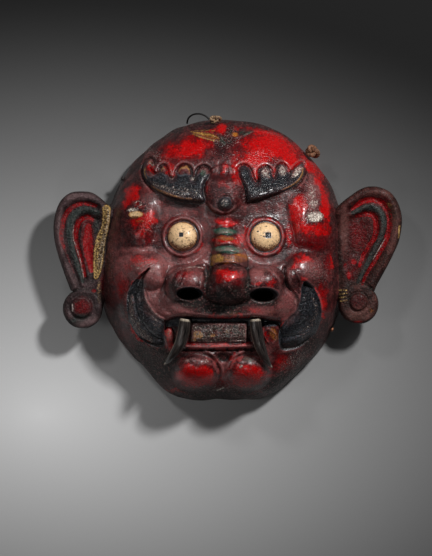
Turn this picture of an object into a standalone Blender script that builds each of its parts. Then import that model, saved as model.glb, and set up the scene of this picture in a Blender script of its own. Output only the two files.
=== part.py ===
"""Lakhe mask: a carved, lacquered demon face with separate ears and tusks, lying face up on its rim.

The face is one hollow wooden shell. Its front is a dome over a lobed outline, and the carving is a height
added to that dome: every brow, eye, nose, cheek, moustache, mouth and chin form is a named function of the
plan position. The same forms, at the same sizes, are what the visual model follows.

Frame: +X to the viewer's right, +Y towards the crown, +Z out of the face. The rim's plane is z = 0, and the
origin is the middle of the bounding box at the bottom. Metres in the objects, millimetres in the functions.
"""
import math

import bmesh
import bpy
import numpy as np

for old in list(bpy.data.objects):
    bpy.data.objects.remove(old)

MM = 0.001

# --------------------------------------------------------------------------------------------- sizes, in mm
CENTRE = (-6.6, -5.5)        # middle of the head's outline in plan
CROWN_Z = 96.0               # the plain dome's height over the rim
OUTLINE = ((3, 141.0), (27, 150.5), (50, 158.5), (71, 166.0), (88, 165.0), (106, 163.5), (125, 156.5), (150, 146.0),
           (174, 141.5), (197, 146.5), (214, 148.0), (234, 152.5), (250, 164.5), (271, 159.0), (288, 164.0),
           (308, 154.0), (326, 150.0), (344, 144.5))   # degrees from +X, radius
WALL = 11.0                  # the shell's wood
GAP = 0.45                   # air between one solid and the next
EYES = (((-51.0, 24.0), 15.1, 1.44), ((42.2, 23.6), 16.0, 1.24))   # middle, white disc's radius, lid ring
NOSTRILS = (((-43.4, -41.9), (13.5, 6.8)), ((40.0, -43.1), (14.4, 7.1)))
LIP = ((-78.9, -73.5), (-67.6, -70.7), (-58.6, -67.8), (-47.3, -66.7), (-31.5, -68.4), (-4.5, -69.0), (20.3, -68.4), (33.8, -68.4),
       (47.3, -71.2), (62.0, -73.5), (69.9, -76.9))
MOUTH = (-71.5, 60.3, -96.6)             # left, right, lower edge
TEETH = (-42.2, 21.4, -74.0, -93.3)
BROWS = (        # outline of each black plate and the height of its lower edge
    (((-93.7, 89.9), (-96.2, 97.2), (-95.8, 104.6), (-92.8, 109.7), (-89.0, 111.8), (-86.1, 109.5),
      (-89.0, 107.0), (-90.6, 103.4), (-88.5, 98.4), (-85.2, 94.6), (-80.9, 93.1), (-77.5, 95.5),
      (-76.4, 100.0), (-73.4, 102.7), (-70.7, 100.0), (-70.1, 95.5), (-68.4, 91.0), (-65.0, 87.8),
      (-60.8, 87.8), (-58.2, 91.0), (-56.8, 96.7), (-53.8, 100.7), (-49.6, 102.7), (-45.0, 100.7),
      (-42.8, 95.5), (-42.1, 89.9), (-39.6, 85.4), (-36.7, 85.8), (-35.6, 90.5), (-34.2, 96.1),
      (-31.3, 99.8), (-27.0, 101.3), (-23.2, 99.1), (-21.8, 94.4), (-24.1, 88.8), (-27.5, 83.1),
      (-29.0, 76.4), (-28.6, 69.6), (-26.6, 63.1), (-32.7, 62.4), (-42.8, 63.3), (-54.1, 64.7),
      (-65.3, 68.0), (-76.0, 73.2), (-85.6, 79.8)), 65.1),
    (((13.1, 97.8), (15.1, 101.4), (18.7, 102.3), (22.6, 100.0), (24.8, 95.0), (27.1, 88.8),
      (30.4, 83.4), (33.6, 82.7), (36.3, 85.8), (36.1, 91.0), (36.5, 96.2), (39.2, 99.6),
      (43.3, 100.7), (47.1, 98.2), (49.0, 93.3), (51.0, 89.0), (53.8, 90.1),
      (55.9, 95.0), (58.2, 101.2), (61.5, 104.1), (65.1, 101.8), (67.0, 97.2),
      (68.5, 92.4), (71.2, 91.9), (73.5, 95.5), (76.6, 99.5), (80.6, 103.4), (84.5, 105.7),
      (86.6, 101.2), (85.2, 95.0), (81.8, 88.2), (76.2, 82.7), (68.3, 77.5), (58.2, 73.0),
      (47.3, 69.2), (36.1, 65.8), (25.4, 64.0), (23.0, 67.4), (21.4, 73.0), (19.9, 79.2),
      (16.9, 85.4), (14.2, 91.5)), 68.5))
MOUSTACHES = (   # outline of each crescent, its groove and its tip
    (((-88.3, -13.1), (-93.0, -19.8), (-95.8, -27.3), (-96.0, -36.3), (-94.4, -46.4), (-90.1, -56.0),
      (-83.4, -65.0), (-75.9, -70.4), (-72.8, -74.6), (-73.2, -83.6), (-72.8, -93.8), (-73.2, -100.5),
      (-78.9, -101.6), (-86.7, -100.1), (-95.2, -95.4), (-102.7, -88.1), (-108.7, -78.0), (-112.3, -67.8),
      (-113.8, -56.6), (-113.1, -45.3), (-110.2, -36.3), (-104.3, -27.3), (-96.4, -19.4)),
     ((-105.3, -44.2), (-103.1, -58.8), (-98.6, -71.2), (-91.8, -81.9), (-83.4, -89.8), (-71.0, -95.4)), -23.9),
    (((86.2, -29.0), (91.3, -31.3), (96.9, -37.4), (101.4, -45.3), (104.4, -54.3), (105.3, -64.5),
      (103.7, -75.7), (99.0, -86.4), (91.3, -94.9), (82.3, -101.4), (72.1, -104.6), (62.4, -104.8),
      (59.3, -98.3), (58.6, -89.8), (60.0, -81.9), (65.4, -74.2), (72.7, -67.8), (78.4, -61.1),
      (81.8, -52.6), (83.2, -44.7), (83.9, -36.9)),
     ((94.1, -69.0), (91.3, -78.0), (86.2, -85.3), (77.8, -89.3), (63.1, -90.4)), -29.5))
EAR_TOP_Z = 46.0
EAR_DEEP = 17.0


# --------------------------------------------------------------------------------------- small shape helpers
def ramp(low, high, v):
    """Smooth step: 0 at low, 1 at high, level at both ends."""
    t = np.clip((v - low) / (high - low), 0.0, 1.0)
    return t * t * (3.0 - 2.0 * t)


def upper(a, b, soft):
    """The higher of two heights, rounded where they cross over soft mm."""
    t = np.clip(0.5 + 0.5 * (a - b) / soft, 0.0, 1.0)
    return b + (a - b) * t + soft * t * (1.0 - t)


def oval(x, y, at, radii, turn=0.0):
    """Share of the way out to an ellipse: 0 at its middle, 1 on it."""
    c, s = math.cos(math.radians(turn)), math.sin(math.radians(turn))
    dx, dy = x - at[0], y - at[1]
    return np.hypot((dx * c + dy * s) / radii[0], (dy * c - dx * s) / radii[1])


def mound(share, high, full=0.5):
    """Dome height over an ellipse share; 0.5 is an ellipsoid, more is softer at the foot."""
    return high * np.clip(1.0 - share * share, 0.0, 1.0) ** full


def swell(h, share, high, foot, soft=3.0, full=0.5):
    """Raises h to a dome over an ellipse share: high in its middle, foot below the plain dome at its edge."""
    rise = (high + foot) * np.clip(1.0 - share * share, 0.0, 1.0) ** full - foot - 60.0 * np.clip(share - 1.0, 0.0, None)
    return upper(h, rise, soft)


def blend(h, share, level, core):
    """Leads h to a level: wholly inside core of an ellipse share, not at all past its edge."""
    return h + (level - h) * ramp(1.0, core, share)


def bowl(h, share, deep):
    """Lowers h by a bowl over an ellipse share, its slope dying out at the edge."""
    return h - deep * np.clip(1.0 - share * share, 0.0, 1.0) ** 1.4


def groove(h, x, y, run, deep, half):
    """Lowers h along a line by a bell-shaped cut; a negative depth raises a ridge."""
    return h - deep * np.exp(-((along(x, y, run, 12)[0] / half) ** 2))


def curve(points, count, closed=False):
    """Smooth curve through the points (Catmull-Rom), as count samples of every column."""
    p = np.array(points, float)
    p = np.vstack([p[-1:], p, p[:2]]) if closed else np.vstack([2 * p[0] - p[1], p, 2 * p[-1] - p[-2]])
    t = np.linspace(0.0, len(p) - 3 - 1e-9, count)
    i = t.astype(int)
    f = (t - i)[:, None]
    a, b, c, d = p[i], p[i + 1], p[i + 2], p[i + 3]
    return 0.5 * (2 * b + (c - a) * f + (2 * a - 5 * b + 4 * c - d) * f ** 2 + (3 * b - 3 * c + d - a) * f ** 3)


def along(x, y, points, count=40):
    """Nearest distance to a smooth curve, the share along it, and its half width there (third column)."""
    s = curve(points, count)
    best = np.full(np.shape(x), 1e9)
    share = np.zeros(np.shape(x))
    for k in range(count - 1):
        ex, ey = s[k + 1, 0] - s[k, 0], s[k + 1, 1] - s[k, 1]
        t = np.clip(((x - s[k, 0]) * ex + (y - s[k, 1]) * ey) / (ex * ex + ey * ey + 1e-12), 0.0, 1.0)
        d = np.hypot(x - s[k, 0] - t * ex, y - s[k, 1] - t * ey)
        near = d < best
        best = np.where(near, d, best)
        share = np.where(near, (k + t) / (count - 1), share)
    half = np.interp(share, np.linspace(0, 1, count), s[:, 2]) if s.shape[1] > 2 else None
    return best, share, half


def inside_of(x, y, outline, count=120):
    """Signed distance to a closed smooth outline: positive inside, by counting crossings to the right."""
    s = curve(outline, count + 1, closed=True)
    depth = np.full(np.shape(x), -1e3)
    low, high = s.min(0) - 9.0, s.max(0) + 9.0
    here = (x > low[0]) & (x < high[0]) & (y > low[1]) & (y < high[1])
    px, py = x[here], y[here]
    far, within = np.full(px.shape, 1e3), np.zeros(px.shape, bool)
    for (ax, ay), (bx, by) in zip(s[:-1], s[1:]):
        ex, ey = bx - ax, by - ay
        t = np.clip(((px - ax) * ex + (py - ay) * ey) / (ex * ex + ey * ey + 1e-12), 0.0, 1.0)
        far = np.minimum(far, np.hypot(px - ax - t * ex, py - ay - t * ey))
        within ^= ((ay > py) != (by > py)) & (px < ax + (py - ay) * ex / (ey + 1e-12))
    depth[here] = np.where(within, far, -far)
    return depth


def hermite(stations, at):
    """Periodic smooth interpolation of (degrees, value) stations."""
    a = np.array([p[0] for p in stations], float)
    r = np.array([p[1] for p in stations], float)
    a = np.concatenate([a - 360, a, a + 360])
    r = np.concatenate([r, r, r])
    i = np.searchsorted(a, at, side="right") - 1
    h = a[i + 1] - a[i]
    t = (at - a[i]) / h
    m0 = (r[i + 1] - r[i - 1]) / (a[i + 1] - a[i - 1]) * h
    m1 = (r[i + 2] - r[i]) / (a[i + 2] - a[i]) * h
    return ((2 * t**3 - 3 * t**2 + 1) * r[i] + (t**3 - 2 * t**2 + t) * m0
            + (3 * t**2 - 2 * t**3) * r[i + 1] + (t**3 - t**2) * m1)


# ------------------------------------------------------------------------------------------------ the carving
def lip_height(x, y):
    """How far above the curve of the upper lip a place lies in plan."""
    lip = curve(LIP, 80)
    return y - np.interp(x, lip[:, 0], lip[:, 1])


def socket_forms(h, x, y):
    """Sockets, temples, broad cheeks and the two eyes: ball, channel and raised lid ring."""
    for at, radii in (((-55.2, 29.1), (51.8, 47.3)), ((46.2, 29.1), (50.7, 47.3))):
        h = bowl(h, oval(x, y, at, radii), 12.0)
    for at, radii, turn, high in (((-105.9, 48.2), (33.8, 49.6), 4, 8.0), ((99.2, 46.0), (34.9, 51.8), -4, 9.0)):
        h = blend(h, oval(x, y, at, radii, turn), high, 0.35)
    for at, radii in (((-101.4, -37.4), (49.6, 51.8)), ((93.5, -37.4), (47.3, 53.0))):
        h = blend(h, oval(x, y, at, radii), 6.0, 0.3)
    h = groove(h, x, y, ((69.9, 12.2), (94.7, 9.9), (121.7, 3.1)), 1.8, 4.5)
    for at, r, lid in EYES:
        d = np.hypot(x - at[0], y - at[1]) / r
        h = h + (-9.5 - h) * ramp(2.3, 1.55, d) - 2.0 * np.exp(-(((d - lid - 0.24) / 0.09) ** 2))
        h = upper(h, -13.0 + 11.4 * np.clip(1 - ((d - lid) / 0.22) ** 2, 0, 1) ** 0.5, 1.0)
        ball = upper(-8.5, -13.0 + 17.5 * np.clip(1 - (d / 1.18) ** 2, 0, 1) ** 0.5, 1.0)
        h = h + (ball - h) * ramp(lid - 0.07, lid - 0.15, d)
    return h


def cheek_forms(h, x, y):
    """The muzzle, the cheek knobs with their inner curls, the folds between and the black moustaches."""
    h = bowl(blend(h, oval(x, y, (-3.4, -53.2), (99.2, 51.8)), 14.0, 0.45), oval(x, y, (-2.2, -55.4), (33.8, 16.9)), 4.5)
    for at, radii, high, foot, soft in (
            ((-91.2, -16.0), (24.8, 22.5), 16.5, 8.0, 5.0), ((-82.8, -23.9), (15.8, 16.9), 14.5, 7.0, 4.5),
            ((89.0, -16.0), (24.8, 22.5), 16.5, 8.0, 5.0), ((72.7, -22.8), (11.8, 18.6), 14.5, 7.0, 3.5)):
        h = swell(h, oval(x, y, at, radii), high, foot, soft)
    for run, deep, half in (
            (((-87.3, -10.4), (-97.4, -18.7), (-109.8, -29.5)), -1.6, 1.3), (((-69.8, -14.9), (-70.4, -27.3), (-74.9, -36.3)), 1.6, 2.6),
            (((-72.1, -40.8), (-74.3, -52.1), (-67.6, -61.1)), 1.8, 4.0),
            (((63.7, -12.6), (64.8, -27.3), (69.9, -37.4), (77.2, -45.3), (80.0, -54.3), (77.2, -63.3), (69.9, -70.1)), 3.4, 2.0)):
        h = groove(h, x, y, run, deep, half)
    for outline, parting, tip in MOUSTACHES:
        inside = inside_of(x, y, outline)
        level = 3.6 - 7.5 * ramp(-72.0, -104.0, y) + 1.5 * ramp(tip - 22.0, tip, y)
        h = h + (level + 1.3 * ramp(0.0, 5.0, inside) - h) * ramp(-1.2, 0.9, inside)
        h = h - 1.9 * np.exp(-((along(x, y, parting, 16)[0] / 1.3) ** 2)) * ramp(0.0, 1.5, inside)
    return h


def nose_forms(h, x, y):
    """The banded bridge, the ball tip, the wings, the web between them and the hollows of the nostrils."""
    d, t, half = along(x, y, ((-5.0, 51.6, 5.0), (-5.0, 38.1, 9.5), (-3.4, 24.6, 12.5), (-1.7, 11.0, 16.5),
                              (0.6, -1.4, 20.5), (1.7, -12.6, 21.5)))
    rise = np.interp(t, (0.0, 0.2, 0.45, 0.75, 1.0), (-9.0, 1.0, 11.0, 24.0, 31.0))
    bridge = -10.0 + (rise + 10.0) * np.clip(1 - (d / np.maximum(half, 1.0)) ** 2, 0, 1) ** 0.5
    for roll, deep in ((39.8, 1.8), (33.0, 2.6), (24.6, 2.9), (12.7, 3.1),
                       (4.3, 3.4), (-8.1, 4.2)):
        bridge = bridge - deep * np.exp(-(((y - roll + 0.012 * (x - -1.1) ** 2) / 1.4) ** 2))
    h = swell(upper(h, bridge, 2.5), oval(x, y, (1.7, -28.4), (23.7, 25.9)), 41.0, 9.0, 3.0, 0.42)
    for at, radii in (((-46.7, -31.8), (25.4, 22.0)), ((40.6, -31.8), (24.2, 21.4))):
        wing = np.abs((x - at[0]) / radii[0]) ** 2.8 + np.abs((y - at[1]) / radii[1]) ** 2.6
        h = upper(h, -7.0 + 34.0 * np.clip(1 - wing, 0, 1) ** 0.5, 4.0)
    h = swell(h, oval(x, y, (0.0, -36.3), (36.1, 20.3)), 30.0, 6.0, 4.0)
    for at, radii in NOSTRILS:
        h = h - 14.0 * ramp(1.2, 0.7, oval(x, y, at, radii))
    return h


def brow_forms(h, x, y):
    """The knot of flesh between the brows, the two fingered plates in their moats, the bead and the flame."""
    knot = np.full(np.shape(x), -9.0)
    for at, radii, high, soft in (((-4.5, 78.6), (23.7, 27.0), 13.0, 2.0), ((-5.6, 64.0), (18.6, 17.5), 12.0, 3.0)):
        knot = swell(knot, oval(x, y, at, radii), high, 9.0, soft, 0.35)
    fade = ramp(82.0, 95.5, y)
    h = upper(h, knot * (1 - fade) + np.minimum(knot, 2.0) * fade, 2.0)
    for outline, low in BROWS:
        inside = inside_of(x, y, outline, 200)
        h = h - 4.4 * np.exp(-(((inside + 2.0) / 1.7) ** 2)) * ramp(low + 6.0, low + 16.0, y)
        level = 0.6 + 6.6 * ramp(103.4 + 2.0, low, y) + 1.7 * ramp(0.0, 3.6, inside)
        h = h + (level - h) * ramp(-0.9, 0.9, inside)
    d = oval(x, y, (-3.4, 60.6), (8.8, 8.8))
    h = h - 1.5 * np.exp(-(((d - 1.05) / 0.2) ** 2)) + mound(d, 2.8)
    return h + mound(oval(x, y, (-4.1, 98.9), (3.8, 10.7), -6), 1.7, 0.8)


def mouth_forms(h, x, y):
    """The open mouth under its rounded lip, the plate of teeth, the gums and the lower lip."""
    above = lip_height(x, y)
    between = np.minimum(x - MOUTH[0], MOUTH[1] - x)
    h = h - 4.5 * np.clip(1.0 - above / 5.0, 0, 1) ** 2 * ramp(-2.0, 4.0, between) * (above > -2.0)
    h = h + (-3.5 - h) * ramp(-0.8, 1.6, np.minimum(-above, between)) * ramp(-3.5, 3.0, y - MOUTH[2])
    plate = np.minimum(np.minimum(TEETH[2] - y, y - TEETH[3]), np.minimum(x - TEETH[0], TEETH[1] - x))
    h = h + (2.4 - 0.9 * ramp(2.0, 0.0, plate) - h) * ramp(-0.6, 0.8, plate)
    for at, radii, high, full in (((-67.6, -90.4), (6.1, 10.8), 3.4, 0.22), ((-65.9, -102.8), (5.2, 6.8), 2.6, 0.35),
                                  ((47.9, -87.0), (11.7, 14.6), 1.2, 0.16)):
        h = swell(h, oval(x, y, at, radii), high, 12.0, 1.0, full)
    h = groove(h, x, y, ((-45.0, -95.1), (-14.6, -95.6), (24.8, -94.7)), 1.4, 0.9)
    h = groove(h, x, y, ((-47.3, -101.4), (-14.6, -102.0), (27.1, -100.7)), -3.4, 2.0)
    return groove(h, x, y, ((-56.3, -105.3), (-14.6, -105.7), (33.8, -104.6)), 4.8, 1.5)


def chin_forms(h, x, y):
    """Two balls, the ridges of the Y between them and its sunk triangle."""
    for at, radii in (((-36.6, -128.1), (28.2, 20.8)), ((22.6, -129.3), (27.6, 20.3))):
        h = swell(h, oval(x, y, at, radii), 17.5, 6.0, 4.0)
    for run in (((-25.9, -106.2), (-15.8, -111.8), (-7.9, -123.1), (-4.5, -136.6)), ((16.9, -107.3), (6.8, -112.9), (-1.1, -123.1), (-4.5, -136.6))):
        h = groove(h, x, y, run, -2.4, 1.7)
    return h - 3.5 * ramp(1.2, 0.5, oval(x, y, (-5.0, -114.0), (9.0, 6.2)))


def carving(x, y):
    """Height of the carving over the plain dome, in mm, at plan positions in mm."""
    h = np.zeros(np.shape(x))
    for forms in (socket_forms, cheek_forms, nose_forms, brow_forms, mouth_forms, chin_forms):
        h = forms(h, x, y)
    return h


# ------------------------------------------------------------------------------------------------- the blank
def disc(count):
    """Square grid squeezed onto a disc: radius 0..1 and angle at every crossing."""
    u = np.linspace(-1.0, 1.0, count)
    a, b = np.meshgrid(u, u, indexing="ij")
    wide = np.abs(a) >= np.abs(b)
    with np.errstate(divide="ignore", invalid="ignore"):
        angle = np.where(wide, math.pi / 4 * (b / a), math.pi / 2 - math.pi / 4 * (a / b))
    angle = np.nan_to_num(angle) + np.where(np.where(wide, a, b) < 0, math.pi, 0.0)
    return np.maximum(np.abs(a), np.abs(b)), angle


def reach(angle):
    """The outline's radius at an angle in radians."""
    return hermite(OUTLINE, np.degrees(angle) % 360.0)


def fullness(angle):
    """The dome's exponent: boxier across the temples, rounder at the chin and crown."""
    down = np.sin(angle)
    return 2.45 - 0.35 * ramp(0.3, 1.0, -down) - 0.15 * ramp(0.3, 1.0, down)


def dome(count, height, inset=0.0, sides=0.35):
    """Plan positions and dome height on a disc grid; sides sets how many rings the steep part gets."""
    r, angle = disc(count)
    t = np.linspace(0.0, math.pi / 2, 1500)
    s, z = np.sin(t) ** (2 / 2.4), np.cos(t) ** (2 / 2.4)
    walk = np.concatenate([[0.0], np.cumsum(np.hypot(np.diff(s) * 145.0, sides * np.diff(z) * CROWN_Z))])
    phi = np.interp(r, walk / walk[-1], t)
    p = fullness(angle)
    share = np.sin(phi) ** (2 / p)
    out = share * (reach(angle) - inset)
    return CENTRE[0] + out * np.cos(angle), CENTRE[1] + out * np.sin(angle), height * np.cos(phi) ** (2 / p), share


def front(count, grow=0.0):
    """The carved front: dome plus carving, fading out at the rim. grow pushes it outwards."""
    x, y, z, share = dome(count, CROWN_Z + grow, -grow)
    return x, y, z + carving(x, y) * ramp(0.985, 0.90, share)


def hollow(count):
    """The inside: a plain smaller dome that dips under the sockets and the mouth and rises into the nose."""
    x, y, z, share = dome(count, CROWN_Z - WALL, WALL)
    dip = 9.0 * (ramp(1.3, 0.6, oval(x, y, (-54.1, 30.2), (47.3, 42.8))) + ramp(1.3, 0.6, oval(x, y, (45.1, 30.2), (47.3, 42.8))))
    dip = dip + 14.0 * ramp(1.35, 0.75, oval(x, y, (-5.6, -87.0), (76.6, 29.3)))
    rise = 18.0 * ramp(1.1, 0.3, oval(x, y, (0.0, -23.9), (29.3, 27.0))) + 5.0 * ramp(1.1, 0.5, oval(x, y, (-2.2, -32.9), (63.1, 22.5)))
    return x, y, z + (rise - dip) * ramp(0.95, 0.7, share)


# -------------------------------------------------------------------------------------------- building bodies
def material(name, colour, rough, metal=0.0):
    """A plain Principled material."""
    mat = bpy.data.materials.new(name)
    mat.use_nodes = True
    node = mat.node_tree.nodes["Principled BSDF"]
    node.inputs["Base Color"].default_value = (*colour, 1.0)
    node.inputs["Roughness"].default_value = rough
    node.inputs["Metallic"].default_value = metal
    return mat


def body(name, verts, faces, mat):
    """An object from millimetre vertices, at the origin, with its faces turned outwards."""
    mesh = bpy.data.meshes.new(name)
    mesh.from_pydata((np.asarray(verts, float) * MM).tolist(), [], [tuple(int(i) for i in f) for f in faces])
    bm = bmesh.new()
    bm.from_mesh(mesh)
    bmesh.ops.remove_doubles(bm, verts=bm.verts, dist=1e-7)
    bmesh.ops.recalc_face_normals(bm, faces=bm.faces)
    bm.to_mesh(mesh)
    bm.free()
    mesh.materials.append(mat)
    obj = bpy.data.objects.new(name, mesh)
    bpy.context.collection.objects.link(obj)
    return obj


def quads(rows, cols, start=0, flip=False):
    """Quad indices of an open rows by cols grid."""
    i = np.arange(rows * cols).reshape(rows, cols) + start
    q = np.stack([i[:-1, :-1], i[1:, :-1], i[1:, 1:], i[:-1, 1:]], -1).reshape(-1, 4)
    return q[:, ::-1] if flip else q


def edge_loop(count, start=0):
    """Indices round the border of a square grid, in order."""
    i = np.arange(count * count).reshape(count, count) + start
    return np.concatenate([i[0, :-1], i[:-1, -1], i[-1, :0:-1], i[:0:-1, 0]])


def band(a, b):
    """Quads between two closed loops of the same length."""
    return np.stack([a, np.roll(a, -1), np.roll(b, -1), b], -1)


def tube(stations, sides, name, mat, squash=1.0, turn=0.0):
    """A closed round bar along (x, y, z, radius) stations, its ends shut by points."""
    s = np.array(stations, float)
    way = np.gradient(s[:, :3], axis=0)
    way /= np.linalg.norm(way, axis=1, keepdims=True)
    ref = np.cross(way[0], (0.0, 0.0, 1.0))
    if np.linalg.norm(ref) < 0.2:
        ref = np.array((1.0, 0.0, 0.0))
    verts = [s[0, :3]]
    angles = np.linspace(0, 2 * math.pi, sides, endpoint=False) + turn
    for k in range(1, len(s) - 1):
        ref = ref - way[k] * np.dot(ref, way[k])
        ref /= np.linalg.norm(ref)
        up = np.cross(way[k], ref)
        ring = np.cos(angles)[:, None] * ref + np.sin(angles)[:, None] * up * squash
        verts.extend(s[k, :3] + s[k, 3] * ring)
    verts.append(s[-1, :3])
    rings = len(s) - 2
    faces = [(0, 1 + (j + 1) % sides, 1 + j) for j in range(sides)]
    for k in range(rings - 1):
        a = 1 + k * sides
        faces += [(a + j, a + (j + 1) % sides, a + sides + (j + 1) % sides, a + sides + j) for j in range(sides)]
    last, tip = 1 + (rings - 1) * sides, len(verts) - 1
    faces += [(last + j, last + (j + 1) % sides, tip) for j in range(sides)]
    return body(name, verts, faces, mat)


def cutter(obj):
    """Keeps a cutting form out of the model."""
    obj.hide_render = True
    obj.display_type = "WIRE"
    return obj


def cut(obj, tool, name):
    """Takes a cutting form away from a body."""
    mod = obj.modifiers.new(name, "BOOLEAN")
    mod.operation = "DIFFERENCE"
    mod.solver = "EXACT"
    mod.object = tool


def shell(outer, inner, name, mat):
    """The mask's closed body: carved front, smooth hollow and a flat rim between them."""
    xo, yo, zo = front(outer)
    xi, yi, zi = hollow(inner)
    skin = np.stack([xo, yo, np.maximum(zo, 0.0)], -1).reshape(-1, 3)
    inside = np.stack([xi, yi, np.maximum(zi, 0.0)], -1).reshape(-1, 3)
    verts = np.vstack([skin, inside])
    faces = [tuple(f) for f in quads(outer, outer)] + [tuple(f) for f in quads(inner, inner, len(skin), True)]
    big, small = edge_loop(outer), edge_loop(inner, len(skin))
    step = (outer - 1) // (inner - 1)
    for k in range(len(small)):
        run = [int(v) for v in np.take(big, range(k * step, k * step + step + 1), mode="wrap")]
        near, far = int(small[k]), int(small[(k + 1) % len(small)])
        middle = step // 2
        faces += [(run[j], run[j + 1], near) for j in range(middle)]
        faces.append((run[middle], far, near))
        faces += [(run[j], run[j + 1], far) for j in range(middle, step)]
    return body(name, verts, faces, mat)


def height(x, y):
    """Height of the carved front at single plan points, in mm."""
    x, y = np.atleast_1d(np.asarray(x, float)), np.atleast_1d(np.asarray(y, float))
    dx, dy = x - CENTRE[0], y - CENTRE[1]
    angle = np.arctan2(dy, dx)
    share = np.clip(np.hypot(dx, dy) / reach(angle), 0.0, 1.0)
    p = fullness(angle)
    return CROWN_Z * (1 - share ** p) ** (1 / p) + carving(x, y) * ramp(0.985, 0.90, share)


# ----------------------------------------------------------------------------------------------------- ears
class Ear:
    """One ear in plan: its outer edge from the top round to the notch, its lobe disc and its root side."""

    def __init__(self, edge, root, lobe, boss, folds):
        self.edge, self.root, self.lobe, self.boss, self.folds = edge, root, lobe, boss, folds
        both = curve(edge, 160)
        self.top, self.notch = both[:, 1].max(), both[-1, 1]
        self.foot = lobe[1] - lobe[2]
        self.out = 1.0 if lobe[0] > 0 else -1.0

    def sides(self, y):
        """Outermost and rootward x at heights y: the edge curve above the notch, the lobe disc below."""
        line = curve(self.edge, 400)
        over = line[:, 0] * self.out
        far = np.full(np.shape(y), -1e9)
        near = np.full(np.shape(y), 1e9)
        for k in range(len(line) - 1):
            lo, hi = sorted((line[k, 1], line[k + 1, 1]))
            hit = (y >= lo) & (y <= hi)
            v = over[k] + (over[k + 1] - over[k]) * np.clip((y - line[k, 1]) / (line[k + 1, 1] - line[k, 1] + 1e-9), 0, 1)
            far = np.where(hit, np.maximum(far, v), far)
            near = np.where(hit, np.minimum(near, v), near)
        inner = curve(self.root, 200)
        order = np.argsort(inner[:, 1])
        root = np.interp(y, inner[order, 1], inner[order, 0] * self.out)
        near = np.where(y < inner[:, 1].max(), np.minimum(near, root), near)
        disc_half = np.sqrt(np.clip(self.lobe[2] ** 2 - (y - self.lobe[1]) ** 2, 0, None))
        low = y < self.notch + 1.0
        far = np.where(y < self.notch, self.lobe[0] * self.out + disc_half, far)
        far = np.where(low & (y >= self.notch), np.maximum(far, self.lobe[0] * self.out + disc_half), far)
        near = np.where(y < inner[:, 1].min(), self.lobe[0] * self.out - disc_half, near)
        return far, near

    def relief(self, x, y):
        """Height of the ear's folds over its plain face."""
        d = along(x, y, self.edge, 60)[0]
        h = 3.5 * np.exp(-((d - 6.0) / 5.0) ** 2) - 2.5 * ramp(10.0, 30.0, d)
        for line, high, half in self.folds:
            h = h + high * np.exp(-(along(x, y, line, 50)[0] / half) ** 2)
        rim = along(x, y, self.root, 30)[0]
        h = h + 2.5 * np.exp(-((rim - 12.0) / 5.0) ** 2)
        r = np.hypot(x - self.lobe[0], y - self.lobe[1]) / self.lobe[2]
        h = h + (1.6 + 0.8 * np.clip(1.0 - r * r, 0.0, 1.0) - h) * ramp(1.12, 0.95, r)
        h = h - 0.9 * np.exp(-((r - 1.02) / 0.07) ** 2)
        b = np.hypot(x - self.boss[0], y - self.boss[1]) / self.boss[2]
        h = h + 2.4 * ramp(1.05, 0.82, b) + 0.9 * np.clip(1.0 - b * b, 0.0, 1.0)
        return h - 0.9 * np.exp(-((b - 1.15) / 0.12) ** 2)

    def surface(self, rows, cols, back_cols):
        """Closed sections down the ear: the folded face in front, a plain slightly hollow back."""
        v = np.linspace(0.0, 1.0, rows + 2)[1:-1]
        y = self.foot + 0.3 + (self.top - self.foot - 0.6) * (1 + np.cos(math.pi * v * 0.94 + math.pi * 0.03)) / 2
        far, near = self.sides(y)
        mid, half = (far + near) / 2, (far - near) / 2
        u = -np.cos(np.linspace(0.0, math.pi, cols))
        u = 0.55 * u + 0.45 * np.linspace(-1, 1, cols)
        w = -np.cos(np.linspace(0.0, math.pi, back_cols))[1:-1][::-1]
        x_front = mid[:, None] + half[:, None] * u
        x_back = mid[:, None] + half[:, None] * w
        ends = np.clip(np.minimum(self.top - y, y - self.foot) / 7.0, 0, 1)
        ends = (1 - (1 - ends) ** 2.4) ** (1 / 2.4)
        level = EAR_TOP_Z - EAR_DEEP / 2 + 0.0 * y

        def thick(x, share):
            edge = np.clip((1 - np.abs(share)) * half[:, None] / 7.0, 0, 1)
            return EAR_DEEP / 2 * (1 - (1 - edge) ** 2.4) ** (1 / 2.4) * ends[:, None]

        yy = np.broadcast_to(y[:, None], x_front.shape)
        t = thick(x_front, u)
        z_front = level[:, None] + t + (self.relief(x_front * self.out, yy) - 3.0) * t / (EAR_DEEP / 2)
        yb = np.broadcast_to(y[:, None], x_back.shape)
        z_back = level[:, None] - thick(x_back, w)
        xs = np.concatenate([x_front, x_back], 1) * self.out
        return xs, np.concatenate([yy, yb], 1), np.concatenate([z_front, z_back], 1)

    def build(self, name, mat, rows, cols, back_cols):
        """The ear's closed body."""
        x, y, z = self.surface(rows, cols, back_cols)
        ring = x.shape[1]
        caps = [(float(x[k].mean()), y[k, 0] + (0.3 if k == 0 else -0.3), float(z[k].mean())) for k in (0, -1)]
        verts = np.vstack([np.stack([x, y, z], -1).reshape(-1, 3), caps])
        faces = []
        for k in range(rows - 1):
            a = k * ring
            faces += [(a + j, a + (j + 1) % ring, a + ring + (j + 1) % ring, a + ring + j) for j in range(ring)]
        top, foot = len(verts) - 2, len(verts) - 1
        faces += [(top, (j + 1) % ring, j) for j in range(ring)]
        a = (rows - 1) * ring
        faces += [(foot, a + j, a + (j + 1) % ring) for j in range(ring)]
        return body(name, verts, faces, mat)


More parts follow.
